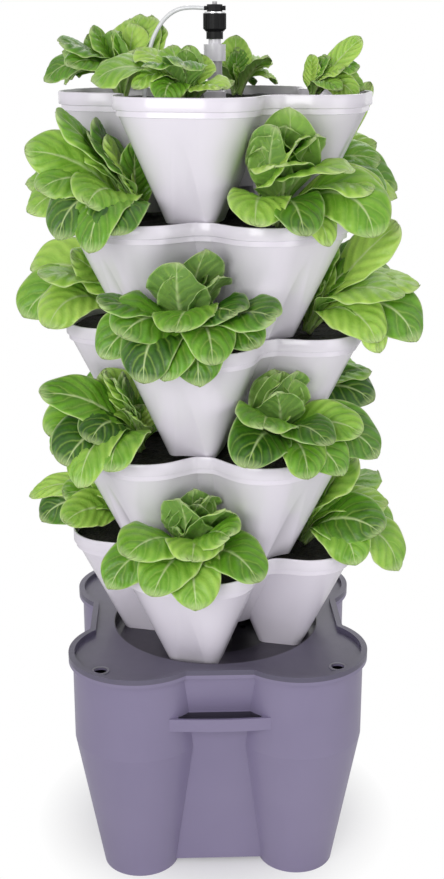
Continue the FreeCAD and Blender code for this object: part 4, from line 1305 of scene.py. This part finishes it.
@dataclass
class Studio:
    """The pale floor, the soft light and the camera."""

    lens: float = 53.81
    eye: Point = (-0.0612, -1.9519, 1.2625)
    tilt: float = math.radians(72.83)
    heading: float = math.radians(-2.1)
    lamp_target: Point = (0, 0, 0.65)
    ambient: float = 0.42
    floor_tone: float = 0.93
    floor_fade: Tuple[float, float] = (0.10, 0.30)
    floor_rings: Tuple[float, ...] = (0.001, 0.5, 1.2, 14.0)
    floor_steps: int = 96

    def build(self) -> None:
        """Set the stage."""
        self._floor()
        self._light("key", (-1.1, -2.3, 1.4), 1.4, 31)
        self._light("fill", (2.0, -1.7, 0.9), 1.6, 13)
        self._light("back", (0.4, 1.6, 2.4), 1.5, 12)
        self._world()
        self._camera()
        bpy.context.scene.view_settings.view_transform = "Standard"

    @staticmethod
    def _link(name: str, data: bpy.types.ID) -> bpy.types.Object:
        """Put an object of the data in the scene.

        Args:
            name: The object's name.
            data: The mesh, lamp or camera.

        Returns:
            The object.
        """
        holder = bpy.data.objects.new(name, data)
        bpy.context.scene.collection.objects.link(holder)
        return holder

    def _floor(self) -> None:
        """Lay the floor as a disc of rings.

        It is white to the eye away from the tower, and a pale floor that takes its shadow near it.
        """
        angle = np.linspace(0, 2 * np.pi, self.floor_steps, endpoint=False)
        x, y = np.outer(self.floor_rings, np.cos(angle)), np.outer(self.floor_rings, np.sin(angle))
        points = np.stack([x, y, np.zeros(x.shape)], axis=-1).reshape(-1, 3)
        mesh = bpy.data.meshes.new("floor")
        mesh.from_pydata(points.tolist(), [], grid_quads(*x.shape, wrap_columns=True).tolist())
        floor = self._link("floor", mesh)
        finish = Finish("floor_white")
        finish.set(Base_Color=(*(self.floor_tone,) * 3, 1), Roughness=0.9)
        spread = finish.add("VectorMath", operation="LENGTH", Vector=finish.place())
        near, far = self.floor_fade
        fade = finish.add("MapRange", Value=spread.outputs["Value"], From_Min=near, From_Max=far)
        seen = finish.add("LightPath").outputs["Is Camera Ray"]
        mix = finish.add("MixShader", Fac=finish.maths("MULTIPLY", fade.outputs["Result"], seen))
        finish.join(mix.inputs[1], finish.shader.outputs["BSDF"])
        finish.join(mix.inputs[2], finish.add("Emission").outputs["Emission"])
        finish.wire(finish.tree.nodes["Material Output"], Surface=mix.outputs["Shader"])
        mesh.materials.append(finish.material)

    def _light(self, name: str, place: Point, size: float, power: float) -> None:
        """Hang one square soft lamp aimed at the middle of the tower.

        Args:
            name: The lamp's name.
            place: Its place.
            size: The length of its side.
            power: Its power in watts.
        """
        lamp = bpy.data.lights.new(name, "AREA")
        lamp.size, lamp.energy = size, power
        aim = np.subtract(self.lamp_target, place)
        holder = self._link(name, lamp)
        holder.location = place
        tilt = math.acos(-aim[2] / np.linalg.norm(aim))
        heading = math.atan2(aim[1], aim[0]) - math.pi / 2
        holder.rotation_euler = (tilt, 0, heading)

    def _world(self) -> None:
        """Light from all round, white to the eye, in mirrors and through clear parts."""
        world = bpy.data.worlds.new("studio")
        bpy.context.scene.world = world
        world.use_nodes = True
        graph = Graph(world.node_tree)
        rays = graph.add("LightPath").outputs
        seen = graph.maths("MAXIMUM", rays["Is Camera Ray"], rays["Is Glossy Ray"])
        seen = graph.maths("MAXIMUM", seen, rays["Is Transmission Ray"])
        graph.wire(graph.tree.nodes["Background"], Color=(1, 1, 1, 1),
                   Strength=graph.maths("MULTIPLY_ADD", seen, 1 - self.ambient, self.ambient))

    def _camera(self) -> None:
        """Place the camera at the photograph's viewpoint."""
        camera = bpy.data.cameras.new("view")
        camera.sensor_fit = "VERTICAL"
        camera.sensor_height, camera.lens = 36.0, self.lens
        camera.clip_start, camera.clip_end = 0.05, 60
        holder = self._link("view", camera)
        holder.location = self.eye
        holder.rotation_euler = (self.tilt, 0, self.heading)
        bpy.context.scene.camera = holder


def main() -> None:
    """Build the tower over its frame, from the floor up."""
    logging.basicConfig(level=logging.INFO, format="%(message)s")
    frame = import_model()
    palette = Palette(Effects())
    Studio().build()
    Reservoir(palette, frame["nodes"]).build()
    Riser(palette, frame["nodes"]).build()
    Tower(palette).build()
    bpy.context.view_layer.update()


if __name__ == "__main__":
    main()
